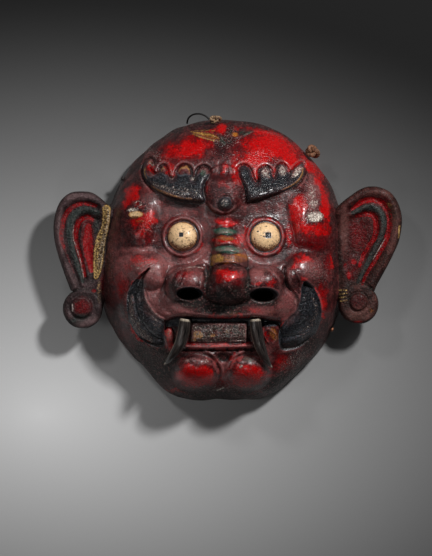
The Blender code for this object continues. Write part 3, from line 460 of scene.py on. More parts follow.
@dataclass(frozen=True)
class Carving:
    """Every carved form of the face as a height over the plain dome, in the order of carving."""

    ground: tuple[Any, ...] = (Basin((-55.2, 29.1), (51.8, 47.3), 12.0),
        Basin((46.2, 29.1), (50.7, 47.3), 12.0), Plateau((-105.9, 48.2), (33.8, 49.6), 8.0, 0.35, 4.0),
        Plateau((99.2, 46), (34.9, 51.8), 9.0, 0.35, -4.0), Plateau((-101.4, -37.4), (49.6, 51.8), 6.0, 0.3),
        Plateau((93.5, -37.4), (47.3, 53), 6.0, 0.3),
        Cut(((-139.7, 2), (-112.7, 6), (-87.9, 5.4)), -0.9, 2.6),
        Cut(((69.9, 12.2), (94.7, 9.9), (121.7, 3.1)), 1.8, 4.5))
    eyes: tuple[Eye, ...] = (Eye((-51.4, 23), 15.7, (-52.7, 24.8), 2.1, 1.33),
        Eye((42.2, 22.5), 16, (45.3, 24.2), 2.8, 1.24))
    cheeks: tuple[Any, ...] = (Plateau((-3.4, -53.2), (99.2, 51.8), 14.0, 0.45),
        Basin((-2.2, -55.4), (33.8, 16.9), 4.5), Ball((-91.2, -16), (24.8, 22.5), 16.5, 8.0, 5.0),
        Ball((-82.8, -23.9), (15.8, 16.9), 14.5, 7.0, 4.5), Ball((89, -16), (24.8, 22.5), 16.5, 8.0, 5.0),
        Ball((72.7, -22.8), (11.8, 18.6), 14.5, 7.0, 3.5),
        Cut(((-87.3, -10.4), (-97.4, -18.7), (-109.8, -29.5)), -1.6, 1.3),
        Cut(((-69.8, -14.9), (-70.4, -27.3), (-74.9, -36.3)), 1.6, 2.6),
        Cut(((-76.6, -34), (-82.2, -37.9), (-89, -38.5)), 0.9, 1.6),
        Cut(((-72.1, -40.8), (-74.3, -52.1), (-67.6, -61.1)), 1.8, 4.0), Cut(((63.7, -12.6), (64.8, -27.3),
        (69.9, -37.4), (77.2, -45.3), (80, -54.3), (77.2, -63.3), (69.9, -70.1)), 3.4, 2.0),
        Cut(((76.6, -16), (80.6, -26.2), (81.7, -37.4)), -1.2, 1.4),
        Cut(((-87.9, -17.1), (-91.2, -26.2), (-91.2, -37.4), (-87.9, -48.7)), -0.9, 1.6))
    nose: Nose = Nose()
    nostrils: tuple[tuple[Point, Point], ...] = (((-43.4, -41.9), (13.5, 6.8)), ((40, -43.1), (14.4, 7.1)))
    moustaches: tuple[Moustache, ...] = (Moustache(((-88.3, -13.1), (-93, -19.8), (-95.8, -27.3),
        (-96, -36.3), (-94.4, -46.4), (-90.1, -56), (-83.4, -65), (-75.9, -70.4), (-72.8, -74.6),
        (-73.2, -83.6), (-72.8, -93.8), (-73.2, -100.5), (-78.9, -101.6), (-86.7, -100.1), (-95.2, -95.4),
        (-102.7, -88.1), (-108.7, -78), (-112.3, -67.8), (-113.8, -56.6), (-113.1, -45.3), (-110.2, -36.3),
        (-104.3, -27.3), (-96.4, -19.4)), (((-105.3, -44.2), (-103.1, -58.8), (-98.6, -71.2), (-91.8, -81.9),
        (-83.4, -89.8), (-71, -95.4)),), -23.9, 28.0), Moustache(((86.2, -29), (91.3, -31.3), (96.9, -37.4),
        (101.4, -45.3), (104.4, -54.3), (105.3, -64.5), (103.7, -75.7), (99, -86.4), (91.3, -94.9),
        (82.3, -101.4), (72.1, -104.6), (62.4, -104.8), (59.3, -98.3), (58.6, -89.8), (60, -81.9),
        (65.4, -74.2), (72.7, -67.8), (78.4, -61.1), (81.8, -52.6), (83.2, -44.7), (83.9, -36.9)),
        (((94.1, -69), (91.3, -78), (86.2, -85.3), (77.8, -89.3), (63.1, -90.4)),), -29.5, -35.0))
    glabella: tuple[Any, ...] = (Ball((-4.5, 78.6), (23.7, 27), 13.0, 9.0, 2.0, 0.35),
        Ball((-5.6, 64), (18.6, 17.5), 12.0, 9.0, 3.0, 0.35))
    rims: tuple[Cut, ...] = (Cut(((-27.6, 82), (-28.1, 71.9), (-23.6, 61.7), (-15.8, 53.3), (-6.7, 49.3)),
        -1.3, 1.5), Cut(((0, 49.3), (9, 56.1), (15.8, 65.1), (18.6, 75.3), (16.9, 86.5)), -1.1, 1.5),
        Cut(((-9.6, 107.9), (-10.6, 97.8), (-7.9, 88.2)), 0.8, 1.3),
        Cut(((-1.1, 109.1), (1.8, 100), (0.6, 88.8)), -0.9, 1.2), Cut(((-95.8, -37.4), (-92.9, -47.6),
        (-87.9, -57.1), (-81.1, -65.6), (-73.2, -70.1), (-63.1, -71.2)), -1.4, 1.3), Cut(((86.8, -25),
        (93.5, -29.5), (100.3, -38), (105.4, -48.7), (107.6, -61.1)), -1.4, 1.4),
        Cut(((77.2, -48.7), (76.6, -58.8), (71, -66.7), (62, -71.8)), -1.0, 1.3))
    bead: tuple[Point, float] = ((-3.4, 59.9), 7.7)
    flame: tuple[Point, Point] = ((-4.1, 98.9), (3.8, 10.7))
    brows: tuple[Brow, ...] = (Brow(((-93.7, 89.9), (-96.2, 97.2), (-95.8, 104.6), (-92.8, 109.7),
        (-89, 111.8), (-86.1, 109.5), (-89, 107), (-90.6, 103.4), (-88.5, 98.4), (-85.2, 94.6), (-80.9, 93.1),
        (-77.5, 95.5), (-76.4, 100), (-73.4, 102.7), (-70.7, 100), (-70.1, 95.5), (-68.4, 91), (-65, 87.8),
        (-60.8, 87.8), (-58.2, 91), (-56.8, 96.7), (-53.8, 100.7), (-49.6, 102.7), (-45, 100.7),
        (-42.8, 95.5), (-42.1, 89.9), (-39.6, 85.4), (-36.7, 85.8), (-35.6, 90.5), (-34.2, 96.1),
        (-31.3, 99.8), (-27, 101.3), (-23.2, 99.1), (-21.8, 94.4), (-24.1, 88.8), (-27.5, 83.1), (-29, 76.4),
        (-28.6, 69.6), (-26.6, 63.1), (-32.7, 62.4), (-42.8, 63.3), (-54.1, 64.7), (-65.3, 68), (-76, 73.2),
        (-85.6, 79.8)), 103.4, 65.1, ((-87.9, 81.5), (-80, 76.2), (-71, 72.3), (-62, 68.9), (-51.8, 66.2),
        (-40.5, 65.2))), Brow(((13.1, 97.8), (15.1, 101.4), (18.7, 102.3), (22.6, 100), (24.8, 95),
        (27.1, 88.8), (30.4, 83.4), (33.6, 82.7), (36.3, 85.8), (36.1, 91), (36.5, 96.2), (39.2, 99.6),
        (43.3, 100.7), (47.1, 98.2), (49, 93.3), (51, 89), (53.8, 90.1), (55.9, 95), (58.2, 101.2),
        (61.5, 104.1), (65.1, 101.8), (67, 97.2), (68.5, 92.4), (71.2, 91.9), (73.5, 95.5), (76.6, 99.5),
        (80.6, 103.4), (84.5, 105.7), (86.6, 101.2), (85.2, 95), (81.8, 88.2), (76.2, 82.7), (68.3, 77.5),
        (58.2, 73), (47.3, 69.2), (36.1, 65.8), (25.4, 64), (23, 67.4), (21.4, 73), (19.9, 79.2),
        (16.9, 85.4), (14.2, 91.5)), 103.4, 68.5, ((85, 98.9), (83, 92.7), (77.8, 86), (69.9, 80),
        (58.6, 75.3), (47.3, 71.6))))
    mouth: Mouth = Mouth()
    chin: tuple[Any, ...] = (Ball((-37.2, -132.1), (28.7, 23.1), 18.6, 6.0, 4.0, 0.6),
        Ball((23.1, -132.6), (28.2, 22.5), 18.6, 6.0, 4.0, 0.6),
        Cut(((-25.9, -106.2), (-15.8, -111.8), (-7.9, -123.1), (-4.5, -136.6)), -2.4, 1.7),
        Cut(((16.9, -107.3), (6.8, -112.9), (-1.1, -123.1), (-4.5, -136.6)), -2.4, 1.7),
        Cut(((-54.1, -123.1), (-49.6, -115.7), (-39.4, -112.4), (-27, -114)), 1.0, 1.6),
        Cut(((-25.9, -156.9), (-15.8, -151.8), (-4.5, -148.4)), -1.6, 1.3),
        Cut(((-65.3, -147.8), (-49.6, -152.9), (-33.8, -155.2)), 1.2, 1.6),
        Cut(((38.3, -155.7), (47.3, -152.4), (54.1, -147.8)), -1.0, 1.2),
        Cut(((-39.4, 144.4), (-28.1, 143.3), (-16.9, 142.2)), -0.9, 1.2),
        Cut(((-36, 140.4), (-24.8, 135.7), (-12.4, 132.7)), -1.1, 1.2),
        Cut(((3.4, 135.5), (11.3, 135.9), (20.3, 139.9), (30.4, 145.1)), -1.0, 1.1),
        Cut(((6.8, 144.6), (16.9, 146), (28.2, 147.8)), -0.8, 1.1),
        Cut(((-14.6, 130.5), (-5.6, 127.8), (4.5, 130.5)), 0.9, 1.3))

    def nostril_share(self, x: Array, y: Array) -> Array:
        """Share of the way out of the nearer nostril."""
        return np.minimum(*(oval(x, y, at, radii) for at, radii in self.nostrils))

    def wrinkles(self, x: Array, y: Array) -> Array:
        """Wavy furrows between the brows: sines of the distance from a point on the forehead, bent by x."""
        d = np.hypot(1.15 * (x - -4.5), y - 106.8)
        here = ramp(1.0, 0.75, oval(x, y, (-5.6, 76.4), (20.3, 14.6)))
        here = here * ramp(1.05, 1.5, self.bead_share(x, y))
        return 0.17 * np.sin(1.9 * d + 1.1 * np.sin(0.27 * (x - 3.0)) + 0.4 * np.sin(0.5 * y)) * here

    def bead_share(self, x: Array, y: Array) -> Array:
        """Distance from the middle of the bead between the eyes, in its radii."""
        return np.hypot(x - self.bead[0][0], y - self.bead[0][1]) / self.bead[1]

    def height(self, x: Array, y: Array) -> Array:
        """Height of the carving over the plain dome in mm, at plan positions in mm."""
        first = (*self.ground, *self.eyes, *self.cheeks, *self.moustaches, self.nose)
        h = worked(first, np.zeros(np.shape(x)), x, y)
        h = h - 14.0 * ramp(1.2, 0.7, self.nostril_share(x, y))
        knot = worked(self.glabella, np.full(np.shape(x), -9.0), x, y)
        fade = ramp(82, 95.5, y)
        h = upper(h, knot * (1 - fade) + np.minimum(knot, 2.0) * fade, 2.0)
        h = worked((*self.rims, *self.brows), h, x, y) + self.wrinkles(x, y)
        d = self.bead_share(x, y)
        h = h - 1.5 * bell(d - 1.05, 0.2) + 2.8 * cap(d)
        h = h + 1.7 * cap(oval(x, y, *self.flame, -6), 0.8)
        h = worked((self.mouth, *self.chin), h, x, y)
        return h - 3.5 * ramp(1.2, 0.5, oval(x, y, (-5, -114), (9, 6.2)))


# ---------------------------------------- the paint
class Paint(Enum):
    """The paints and marks that a surface can carry, by the name of their vertex attribute."""

    CRIMSON = "crimson"
    RED = "red"
    RUBBED = "rubbed"
    ORANGE = "orange"
    GOLD = "gold"
    GREEN = "green"
    CREAM = "cream"
    UMBER = "umber"
    SILVER = "silver"
    BLACK = "black"
    GRIME = "grime"
    BLISTER = "blister"
    MATT = "matt"


@dataclass(frozen=True)
class Dab:
    """An oval touch of paint: full near its middle, gone at one and a half of its radii."""

    at: Point
    radii: Point
    amount: float = 1.0
    turn: float = 0.0

    def lay(self, x: Array, y: Array) -> Array:
        """Amount of paint at plan positions."""
        return self.amount * ramp(1.5, 0.4, oval(x, y, self.at, self.radii, self.turn))


@dataclass(frozen=True)
class Stroke:
    """A brush line of paint along a smooth curve of (x, y, half width)."""

    points: Run
    amount: float = 1.0

    def lay(self, x: Array, y: Array) -> Array:
        """Amount of paint at plan positions."""
        d, _, half = along(x, y, self.points, 24, 12.0)
        return self.amount * ramp(1.4, 0.7, d / np.maximum(half, 0.2))


Touches = tuple[Dab | Stroke, ...]


def dabs(*rows: tuple[float, ...]) -> Touches:
    """Dabs from rows of x, y, x radius, y radius, amount and, if there is one, the turn."""
    return tuple(Dab(r[:2], r[2:4], *r[4:]) for r in rows)


def grown(touches: Touches, times: float) -> Touches:
    """The dabs among some touches with their radii taken times over."""
    return tuple(Dab(t.at, (t.radii[0] * times, t.radii[1] * times), min(t.amount, 1.0), t.turn)
                 for t in touches if isinstance(t, Dab))


def highest(*amounts: Array) -> Array:
    """The greatest of some amounts at each place, and never under 0."""
    total = np.zeros(1)
    for amount in amounts:
        total = np.maximum(total, amount)
    return total


def laid(touches: Touches, x: Array, y: Array) -> Array:
    """The most that any of the touches leaves at each place."""
    return highest(*(touch.lay(x, y) for touch in touches))


@dataclass(frozen=True)
class FacePaint:
    """Where each paint lies on the face."""

    red: Touches = dabs((-39.4, 123.7, 19.2, 11.3, 1.2, 10), (-52.9, 121.5, 25.9, 12.4, 0.85, 8),
        (-68.7, 115.8, 9, 7.9, 0.7), (-24.8, 128.2, 10.1, 5.6, 0.75, 15), (-65.3, 98.9, 4.1, 12.4, 0.9, 22),
        (-86.2, 100.6, 3.8, 7.9, 1.0, 32), (-42.8, 137.2, 7.9, 3.4, 0.7), (-6.7, 147.4, 7.3, 5.6, 1.1, 20),
        (13.5, 146.9, 11.3, 2, 0.55), (-20.3, 143.4, 11.3, 2.9, 0.7, -8), (47.3, 124.8, 32.7, 14.6, 1.2, -8),
        (30.4, 109.1, 19.2, 10.1, 1.1), (69.9, 112.4, 18, 10.1, 1.15, -30), (58.6, 135, 19.2, 6.8, 1.1, -14),
        (45.1, 141.7, 22.5, 5.2, 1.0, -12), (76.6, 127.1, 11.3, 7.9, 1.0, -38), (92.4, 116.9, 9, 9, 1.0, -50),
        (104.8, 100, 6.3, 13.5, 1.0, 28), (11.3, 95.5, 7.9, 16.9, 0.85, 4), (7.9, 111.3, 7.9, 10.1, 0.62),
        (29.9, 92.2, 4.5, 11.3, 1.1, -8), (51.9, 95.5, 3.6, 7.9, 1.1), (69.9, 98.9, 4.5, 6.8, 1.1, -20),
        (94.7, 104.6, 6.8, 14.6, 1.1, 32), (103.7, 83.1, 5.2, 14.6, 1.1, 16),
        (110.4, 60.6, 6.3, 22.5, 1.15, 5), (112.7, 36.9, 4.5, 10.1, 0.8), (78.9, 51.6, 9.6, 19.2, 1.2, -8),
        (84.5, 32.4, 15.8, 7.9, 1.1), (104.8, 29.1, 10.1, 7.9, 1.0), (95.8, 13.3, 19.2, 2.3, 0.5, -6),
        (68.2, 23.4, 3.4, 13.5, 0.85), (-108.1, 70.7, 8.5, 11.3, 1.1), (-116, 61.7, 5.2, 9, 0.95, -8),
        (-89, 42.6, 7.9, 10.1, 1.2, 8), (-99.1, 39.2, 11.3, 5.6, 0.9), (-98, 26.8, 7.9, 7.9, 0.85, 10),
        (-101.4, 58.4, 5.6, 3.8, 0.62), (-100.3, -5.4, 12.4, 6.1, 1.2, -6), (-89, -4.7, 9, 4.5, 0.9, 8),
        (-111.5, -12.6, 5.6, 5.6, 0.6), (85.7, -3.1, 11.3, 5.2, 0.95, -18), (77.2, -10.4, 5.6, 5.6, 0.8),
        (117.8, -5.9, 3.2, 10.1, 0.9, -8), (85.7, -23.9, 3.8, 3.4, 1.0, -40),
        (-3.4, 38.1, 13.5, 4.5, 1.2, -6), (12.4, 17.8, 8.5, 5.6, 1.2, -20), (-2.2, 17.8, 15.8, 5, 0.95, -4),
        (1.1, -20.5, 16.9, 5.6, 1.15, -4), (-10.1, -26.2, 5.6, 3.8, 0.7), (-45, -19.4, 6.8, 5, 0.5, 4),
        (31.6, -30.2, 7.9, 2.7, 0.75), (48.5, -28.9, 5, 6.1, 0.7, 30), (-23.6, 76.4, 2, 7.9, 0.75, -6),
        (-3.9, 100, 2.9, 7.9, 0.85), (-2.2, 79.8, 10.1, 5.6, 0.6, -30), (2.3, -67.2, 14.6, 1.7, 1.0),
        (-19.1, -66, 9, 1.5, 0.75), (9, -57.7, 7.9, 2.5, 0.75, 24), (29.3, -60, 11.3, 3.6, 0.72, -10),
        (-67, -88.1, 6.3, 9, 1.1), (-65.9, -99.4, 5.6, 6.8, 0.8), (60.4, -75.3, 3.4, 4.5, 1.15, -30),
        (42.3, -89.3, 2.7, 9, 0.72, 14), (50.7, -90.4, 4.5, 6.1, 0.85, 8), (-38.3, -96.7, 7.9, 2.3, 0.9),
        (-14.6, -97.6, 33.8, 1.8, 0.6), (-39.4, -132.6, 20.3, 11.3, 1.5, 6), (-23.6, -134.3, 7.9, 10.1, 1.2),
        (-33.8, -142.7, 19.2, 6.8, 1.15), (23.7, -132.6, 18, 10.1, 1.5, -6), (22.6, -141.1, 20.3, 6.8, 1.15),
        (-6.7, -145.6, 56.3, 7.9, 0.45), (11.3, -143.3, 9, 3.8, 0.7), (-7.9, -140, 5.6, 3.8, 0.75),
        (7.9, -114, 4.5, 6.8, 0.75, -30), (63.1, -123.1, 10.1, 12.4, 0.66),
        (45.1, -135.4, 11.3, 4.5, 0.62, 10), (-15.8, -137.7, 3.4, 3.4, 0.7), (-122.8, -30.7, 10.1, 16.9, 0.5),
        (108.2, -45.3, 6.8, 20.3, 0.56, 8)) + (Stroke(((-112, -73.5, 1.4), (-106.6, -85.9, 2.4),
        (-98, -95.6, 1.8), (-90.1, -100.5, 0.8)), 1.0), Stroke(((96.4, -35.2, 1.0), (102.1, -44.2, 1.8),
        (105.9, -54.3, 2.4), (107.5, -66.7, 2.2)), 1.1),
        Stroke(((85.2, -30.7, 1.0), (84.5, -39.7, 1.4), (83, -48.7, 0.8)), 1.1), Stroke(((20.8, 36.9, 1.2),
        (18.7, 23.4, 2.0), (22.6, 9.9, 2.2), (28.2, 3.1, 1.6)), 0.85),
        Stroke(((-39.4, 4.3, 1.2), (-32.7, 8.8, 1.8), (-28.6, 15.5, 1.2)), 0.9), Stroke(((-47.3, -101.9, 1.3),
        (-29.3, -102.1, 1.9), (-11.2, -102.1, 2.0), (9, -101.2, 2.4), (24.8, -99.8, 1.6)), 0.8),
        Stroke(((-22.5, -66.3, 0.8), (-6.7, -67.4, 1.4), (11.3, -67.2, 1.6), (23.7, -67.6, 0.8)), 1.3),
        Stroke(((-113.8, -62.2, 1.2), (-109.3, -78, 1.5), (-101.4, -90.4, 1.6), (-87.9, -99.4, 1.4),
        (-77.7, -102.8, 1.0)), 0.8), Stroke(((-22.5, -111.8, 1.4), (-15.8, -117.4, 2.0), (-9, -128.7, 2.2),
        (-4.5, -138.8, 1.6)), 0.6), Stroke(((-107.7, -31.3, 0.8), (-98.7, -21.4, 1.3), (-88.3, -12.2, 1.3)),
        1.4), Stroke(((-72.1, -150.1, 0.8), (-58.6, -153.5, 1.1), (-36, -156.2, 0.9)), 1.1),
        Stroke(((4.5, -158, 0.8), (24.8, -157.3, 1.0), (38.3, -154.6, 0.8)), 0.9),
        Stroke(((16.9, -108.4, 1.6), (9, -115.2, 2.0), (1.1, -126.4, 2.0), (-4.5, -138.8, 1.6)), 0.6))
    crimson: Touches = dabs((92.4, 21.2, 27, 15.8, 1.1, -6), (-58.6, 111.3, 24.8, 9, 0.9, -8),
        (-46.2, -21.6, 12.4, 6.8, 1.0, 4), (82.3, -4.7, 13.5, 9, 1.05, -18), (-96.9, -5.9, 21.4, 7.9, 1.0, 4),
        (63.1, -123.1, 15.8, 14.6, 0.95, -30), (115, -5.9, 5.1, 15.8, 1.0, -6),
        (-121.7, -32.9, 10.1, 20.3, 0.8, -8), (107.1, -48.7, 6.8, 22.5, 0.95, 6),
        (-7.9, -141.1, 47.3, 7.9, 0.85), (1.1, -34, 19.2, 6.8, 0.9), (33.8, 18.9, 27, 23.7, 0.45),
        (-93.5, 25.7, 11.3, 13.5, 0.9), (-86.7, 78.6, 13.5, 5.6, 0.6, 30), (13.5, 118.1, 13.5, 15.8, 0.8),
        (-23.6, 95.5, 10.1, 11.3, 0.45), (24.8, -55.4, 20.3, 5.6, 0.75, -6), (-2.2, 97.8, 6.8, 13.5, 0.7),
        (-110.4, -82.5, 5.6, 13.5, 0.6, -24), (49.6, -88.1, 10.1, 11.3, 0.7), (-3.4, 27.9, 16.9, 24.8, 0.5),
        (-58.6, 100, 6.8, 9, 0.8), (54.1, 96.7, 22.5, 6.8, 0.9, -10), (6.8, 77.5, 5.6, 15.8, 0.7, 10))
    umber: Touches = dabs((-6.7, -83.6, 31.5, 9, 0.34), (-24.8, 139.5, 15.8, 3.8, 0.9, -12),
        (4.5, -2.5, 18, 5.2, 0.8, -4), (51.9, -87, 5.6, 10.1, 0.8, 20), (-105.9, 44.8, 6.8, 1.8, 0.7),
        (4.5, -63.3, 9, 3.4, 0.7), (47.3, -62.2, 9, 4.5, 0.5),
        (-66.5, -89.3, 4.5, 7.9, 0.5)) + tuple(Stroke(((*a, 0.34), (*b, 0.24)), 0.72) for a, b
        in (((-50, 27.3), (-49.1, 34.2)), ((-48, 25.7), (-42.3, 29.5)), ((-55.2, 26.1), (-60.1, 30.2)),
        ((-54.5, 22.3), (-59.9, 17.3)), ((-51.6, 21.2), (-51.1, 13.3)), ((-48.7, 22.3), (-43.2, 18.2)),
        ((-50.5, 30.2), (-52.7, 35.4)), ((-46.2, 21.2), (-41.2, 22.3))))
    # Rose wear, which also stands for painted sheen and highlights: on the cheeks, knobs and muzzle, round
    # the eyes, on the temples and the chin, and along the left moustache's inner edge.
    rubbed: Touches = dabs((-84.5, 60.6, 10.1, 19.2, 0.25, 24), (-78.9, -48.7, 15.8, 20.3, 1.2, 10),
        (-60.8, -61.1, 20.3, 9, 1.0), (-54.1, 50.5, 24.8, 9, 0.4), (-36, -1.4, 20.3, 10.1, 0.75, 20),
        (-72.1, -5.9, 13.5, 13.5, 0.9), (38.3, 55, 27, 7.9, 0.25, 12), (38.3, -5.9, 29.3, 10.1, 0.4, -14),
        (18, 13.3, 5.6, 18, 0.7, 10), (65.4, -54.3, 12.4, 19.2, 0.7), (38.3, -58.8, 18, 6.8, 0.7),
        (31.6, -20.5, 10.1, 9, 0.9), (-38.3, -22.8, 9, 10.1, 0.6), (95.8, 69.6, 7.9, 22.5, 0.9),
        (-25.9, -115.2, 13.5, 5.6, 0.3), (94.7, -14.9, 14.6, 12.4, 0.7), (-90.1, -12.6, 18, 12.4, 1.3, -10),
        (-83.4, -28.4, 10.1, 11.3, 0.9), (22.6, -115.2, 11.3, 5.6, 0.25), (-63.1, -55.4, 16.9, 10.1, 1.3),
        (-81.1, -17.1, 6.8, 6.8, 1.4), (-66.9, -92.6, 5.6, 11.3, 0.8), (-4.5, -127.6, 4.5, 11.3, 0.8),
        (45.1, -107.3, 7.9, 11.3, 0.5), (-99.1, 7.1, 24.8, 4.5, 0.8), (-25.9, 36.9, 7.9, 18, 0.45),
        (-114.9, -10.4, 14.6, 16.9, 0.85), (-130.7, 18.9, 6.8, 38.3, 0.5)) + (Stroke(((-94, -45.3, 0.8),
        (-89.4, -54.8, 1.1), (-82.9, -63.1, 1.1), (-75.5, -68.3, 1.1), (-66.5, -70.1, 0.8)), 1.5),
        Stroke(((-47.3, -101.6, 1.3), (-15.8, -102, 2.2), (24.8, -100.5, 1.6)), 0.8),
        Stroke(((-22.5, -111.8, 1.4), (-15.8, -117.4, 1.8), (-9, -128.7, 1.8), (1.1, -126.4, 1.8),
        (9, -115.2, 1.8), (16.9, -108.4, 1.4)), 0.7))
    orange: Touches = dabs((-18, 139, 7.9, 1.8, 0.8, -18), (7.9, 139.9, 4.5, 2.9, 1.2),
        (14.7, -0.2, 10.1, 5, 1.2, -8), (0, -4.7, 13.5, 3.8, 0.95), (-3.4, 20.5, 13.5, 3.4, 0.72, -4),
        (-99.1, 40.3, 5.6, 2.3, 0.6), (-71, 73, 9, 1.4, 0.8, -24)) + (Stroke(((-39.4, 143.1, 0.7),
        (-28.1, 139.7, 1.7), (-18, 136.8, 2.1), (-10.1, 134.7, 1.1)), 0.85),)
    gold: Touches = dabs((-12.4, -2, 7.9, 5.6, 1.1), (-18, -8.1, 3.4, 2.7, 0.7)) + (Stroke(((-42.8, 144, 0.7),
        (-31.5, 141.1, 1.3), (-19.1, 139, 1.2), (-10.1, 135.4, 0.6)), 0.85),
        Stroke(((-40, 140.6, 0.5), (-28.1, 135.9, 0.8), (-15.8, 132.3, 0.6)), 0.9),
        Stroke(((-86.7, 80.7, 0.5), (-80, 76.2, 0.9), (-71, 72.1, 1.2), (-63.1, 69.2, 1.0),
        (-52.9, 66.2, 0.7), (-40.5, 65.1, 0.7)), 1.0),
        Stroke(((-94.4, 102.3, 0.5), (-94.9, 95.5, 0.8), (-92.4, 88.8, 0.6)), 0.75),
        Stroke(((85.7, 101.2, 0.8), (84.5, 94.4, 1.0), (80, 87, 1.1), (72.1, 81.1, 0.8), (60.9, 75.7, 0.5)),
        0.9), Stroke(((-55.2, 96.7, 0.6), (-53.4, 100, 1.0), (-49.1, 101.6, 1.2), (-45, 99.6, 1.0),
        (-43.2, 95.5, 0.5)), 0.9), Stroke(((-75.7, 97.8, 0.5), (-73.4, 101.4, 0.9), (-71.2, 98.9, 0.5)), 0.8),
        Stroke(((-14.6, 144.4, 0.4), (-24.8, 145.3, 0.6), (-38.3, 144.7, 0.5)), 0.7),
        Stroke(((-25.9, 135.9, 0.4), (-18, 133.2, 0.6), (-9, 132.5, 0.4)), 0.8),
        Stroke(((-90.1, 109.1, 0.6), (-87.4, 107.9, 0.9)), 0.8))
    green: Touches = dabs((-3.4, 28.4, 13.5, 4.3, 1.25, -4), (0, 7.6, 18, 4.3, 1.3, -4),
        (21.4, 141.7, 9, 2.9, 0.62, 18), (-3.4, 132, 10.1, 5.6, 0.5), (18, 142.2, 9, 2.9, 0.6, 20),
        (76.6, -48.7, 3.4, 9, 0.4), (62, -62.2, 10.1, 9, 0.42), (-28.1, 95.5, 4.5, 5, 0.7),
        (22.6, -116.3, 7.9, 3.8, 0.66), (-3.4, 60.6, 6.1, 6.1, 0.42))
    cream: Touches = dabs((-104.3, 48.2, 8.1, 3.8, 1.2), (-33.8, -88.1, 7.2, 5.6, 0.72, -16),
        (-39, -93.8, 3.8, 2, 0.7), (-18, -88.1, 5.6, 3.4, 0.55), (-1.1, -84.2, 5.6, 4.5, 0.5),
        (6.8, -62.2, 5.6, 2.9, 0.5), (-50.7, 100.5, 3.8, 1.4, 0.7), (-11.2, 8.8, 9, 1, 0.6, -4),
        (-46.2, 103, 3.4, 1.1, 0.6), (-67.1, -85.9, 4.5, 4.1, 0.46))
    # Silver-white paint, and also painted highlights: specks on the left knob and the chin balls, lines along
    # the left wing's top and the left moustache's inner edge, sheen on the left muzzle and sparkle on the
    # moustaches.
    silver: Touches = dabs((-107.7, 53.4, 6.8, 2.7, 0.9, 4), (98.7, 45.5, 9.9, 6.3, 1.1, 6),
        (96.9, 60.6, 5.6, 7.2, 0.75, -20), (62, 97.8, 5.4, 7.4, 0.72), (42.6, 95.5, 5.9, 6.8, 0.66),
        (78.9, 97.3, 4.5, 10.1, 0.78, -42), (45.1, 90.6, 3.4, 2.3, 0.62), (-28.1, 96.7, 4.5, 3.4, 0.4),
        (95.3, 73, 5, 11.3, 0.62), (-86.7, 105.7, 3.4, 2.3, 0.7, -30), (-40.5, 88.1, 2.3, 2.9, 0.7),
        (-64.2, 89.2, 2.7, 2.3, 0.6), (-64.2, 95.5, 1.8, 5.6, 0.6), (-14.6, -150.1, 58.6, 5.6, 0.36),
        (-87.9, -111.8, 20.3, 11.3, 0.33, -42), (76.6, -118.5, 24.8, 10.1, 0.38, 38),
        (-94.6, -10.4, 15.8, 6.8, 0.42), (-85.6, -13.8, 6.8, 5.6, 0.52), (-101.7, -12.9, 1.9, 1.1, 0.85, 20),
        (-108.4, -10.4, 1.4, 1, 0.75), (-46.2, -117, 5.6, 2.3, 0.5), (-24.8, -118.1, 3.4, 3.4, 0.52),
        (14.7, -124.2, 2.7, 2, 0.72), (-63.1, -57.7, 13.5, 5.6, 0.34), (-4.5, 60.2, 5.6, 5.6, 0.42),
        (-87.9, 120.3, 20.3, 5.6, 0.36, -36)) + (Stroke(((-108.7, -44.2, 2.0), (-109.7, -57.7, 3.4),
        (-106.3, -72.4, 4.0), (-99.1, -84.7, 4.4), (-87.9, -94.9, 3.6)), 0.47),
        Stroke(((-89, -48.7, 2.2), (-85.6, -62.2, 4.6), (-80, -78, 5.0)), 0.38), Stroke(((-94, -45.3, 0.6),
        (-89.4, -54.3, 0.7), (-82.9, -62.7, 0.7), (-75.5, -67.8, 0.6)), 0.7),
        Stroke(((-47.3, -12.4, 0.6), (-37.2, -11.3, 0.8), (-27, -13.1, 0.6)), 0.72),
        Stroke(((-85.6, 83.1, 3.0), (-73.2, 76.4, 5.0), (-54.1, 73, 5.6), (-36, 73, 4.6)), 0.38),
        Stroke(((27.1, 71.9, 3.4), (47.3, 77.5, 4.4), (67.6, 85.4, 3.6)), 0.2), Stroke(((95.8, -46.4, 1.8),
        (100.3, -57.7, 2.4), (96.9, -73.5, 3.0), (84.5, -89.3, 5.0)), 0.36), Stroke(((-106.3, 60.6, 0.5),
        (-101.4, 63.3, 0.6), (-97.3, 59.9, 0.5), (-100.7, 57.2, 0.5)), 0.9),
        Stroke(((-12.8, -153, 0.6), (-8.5, -151.2, 0.8), (-3.8, -148.7, 0.5)), 1.1))
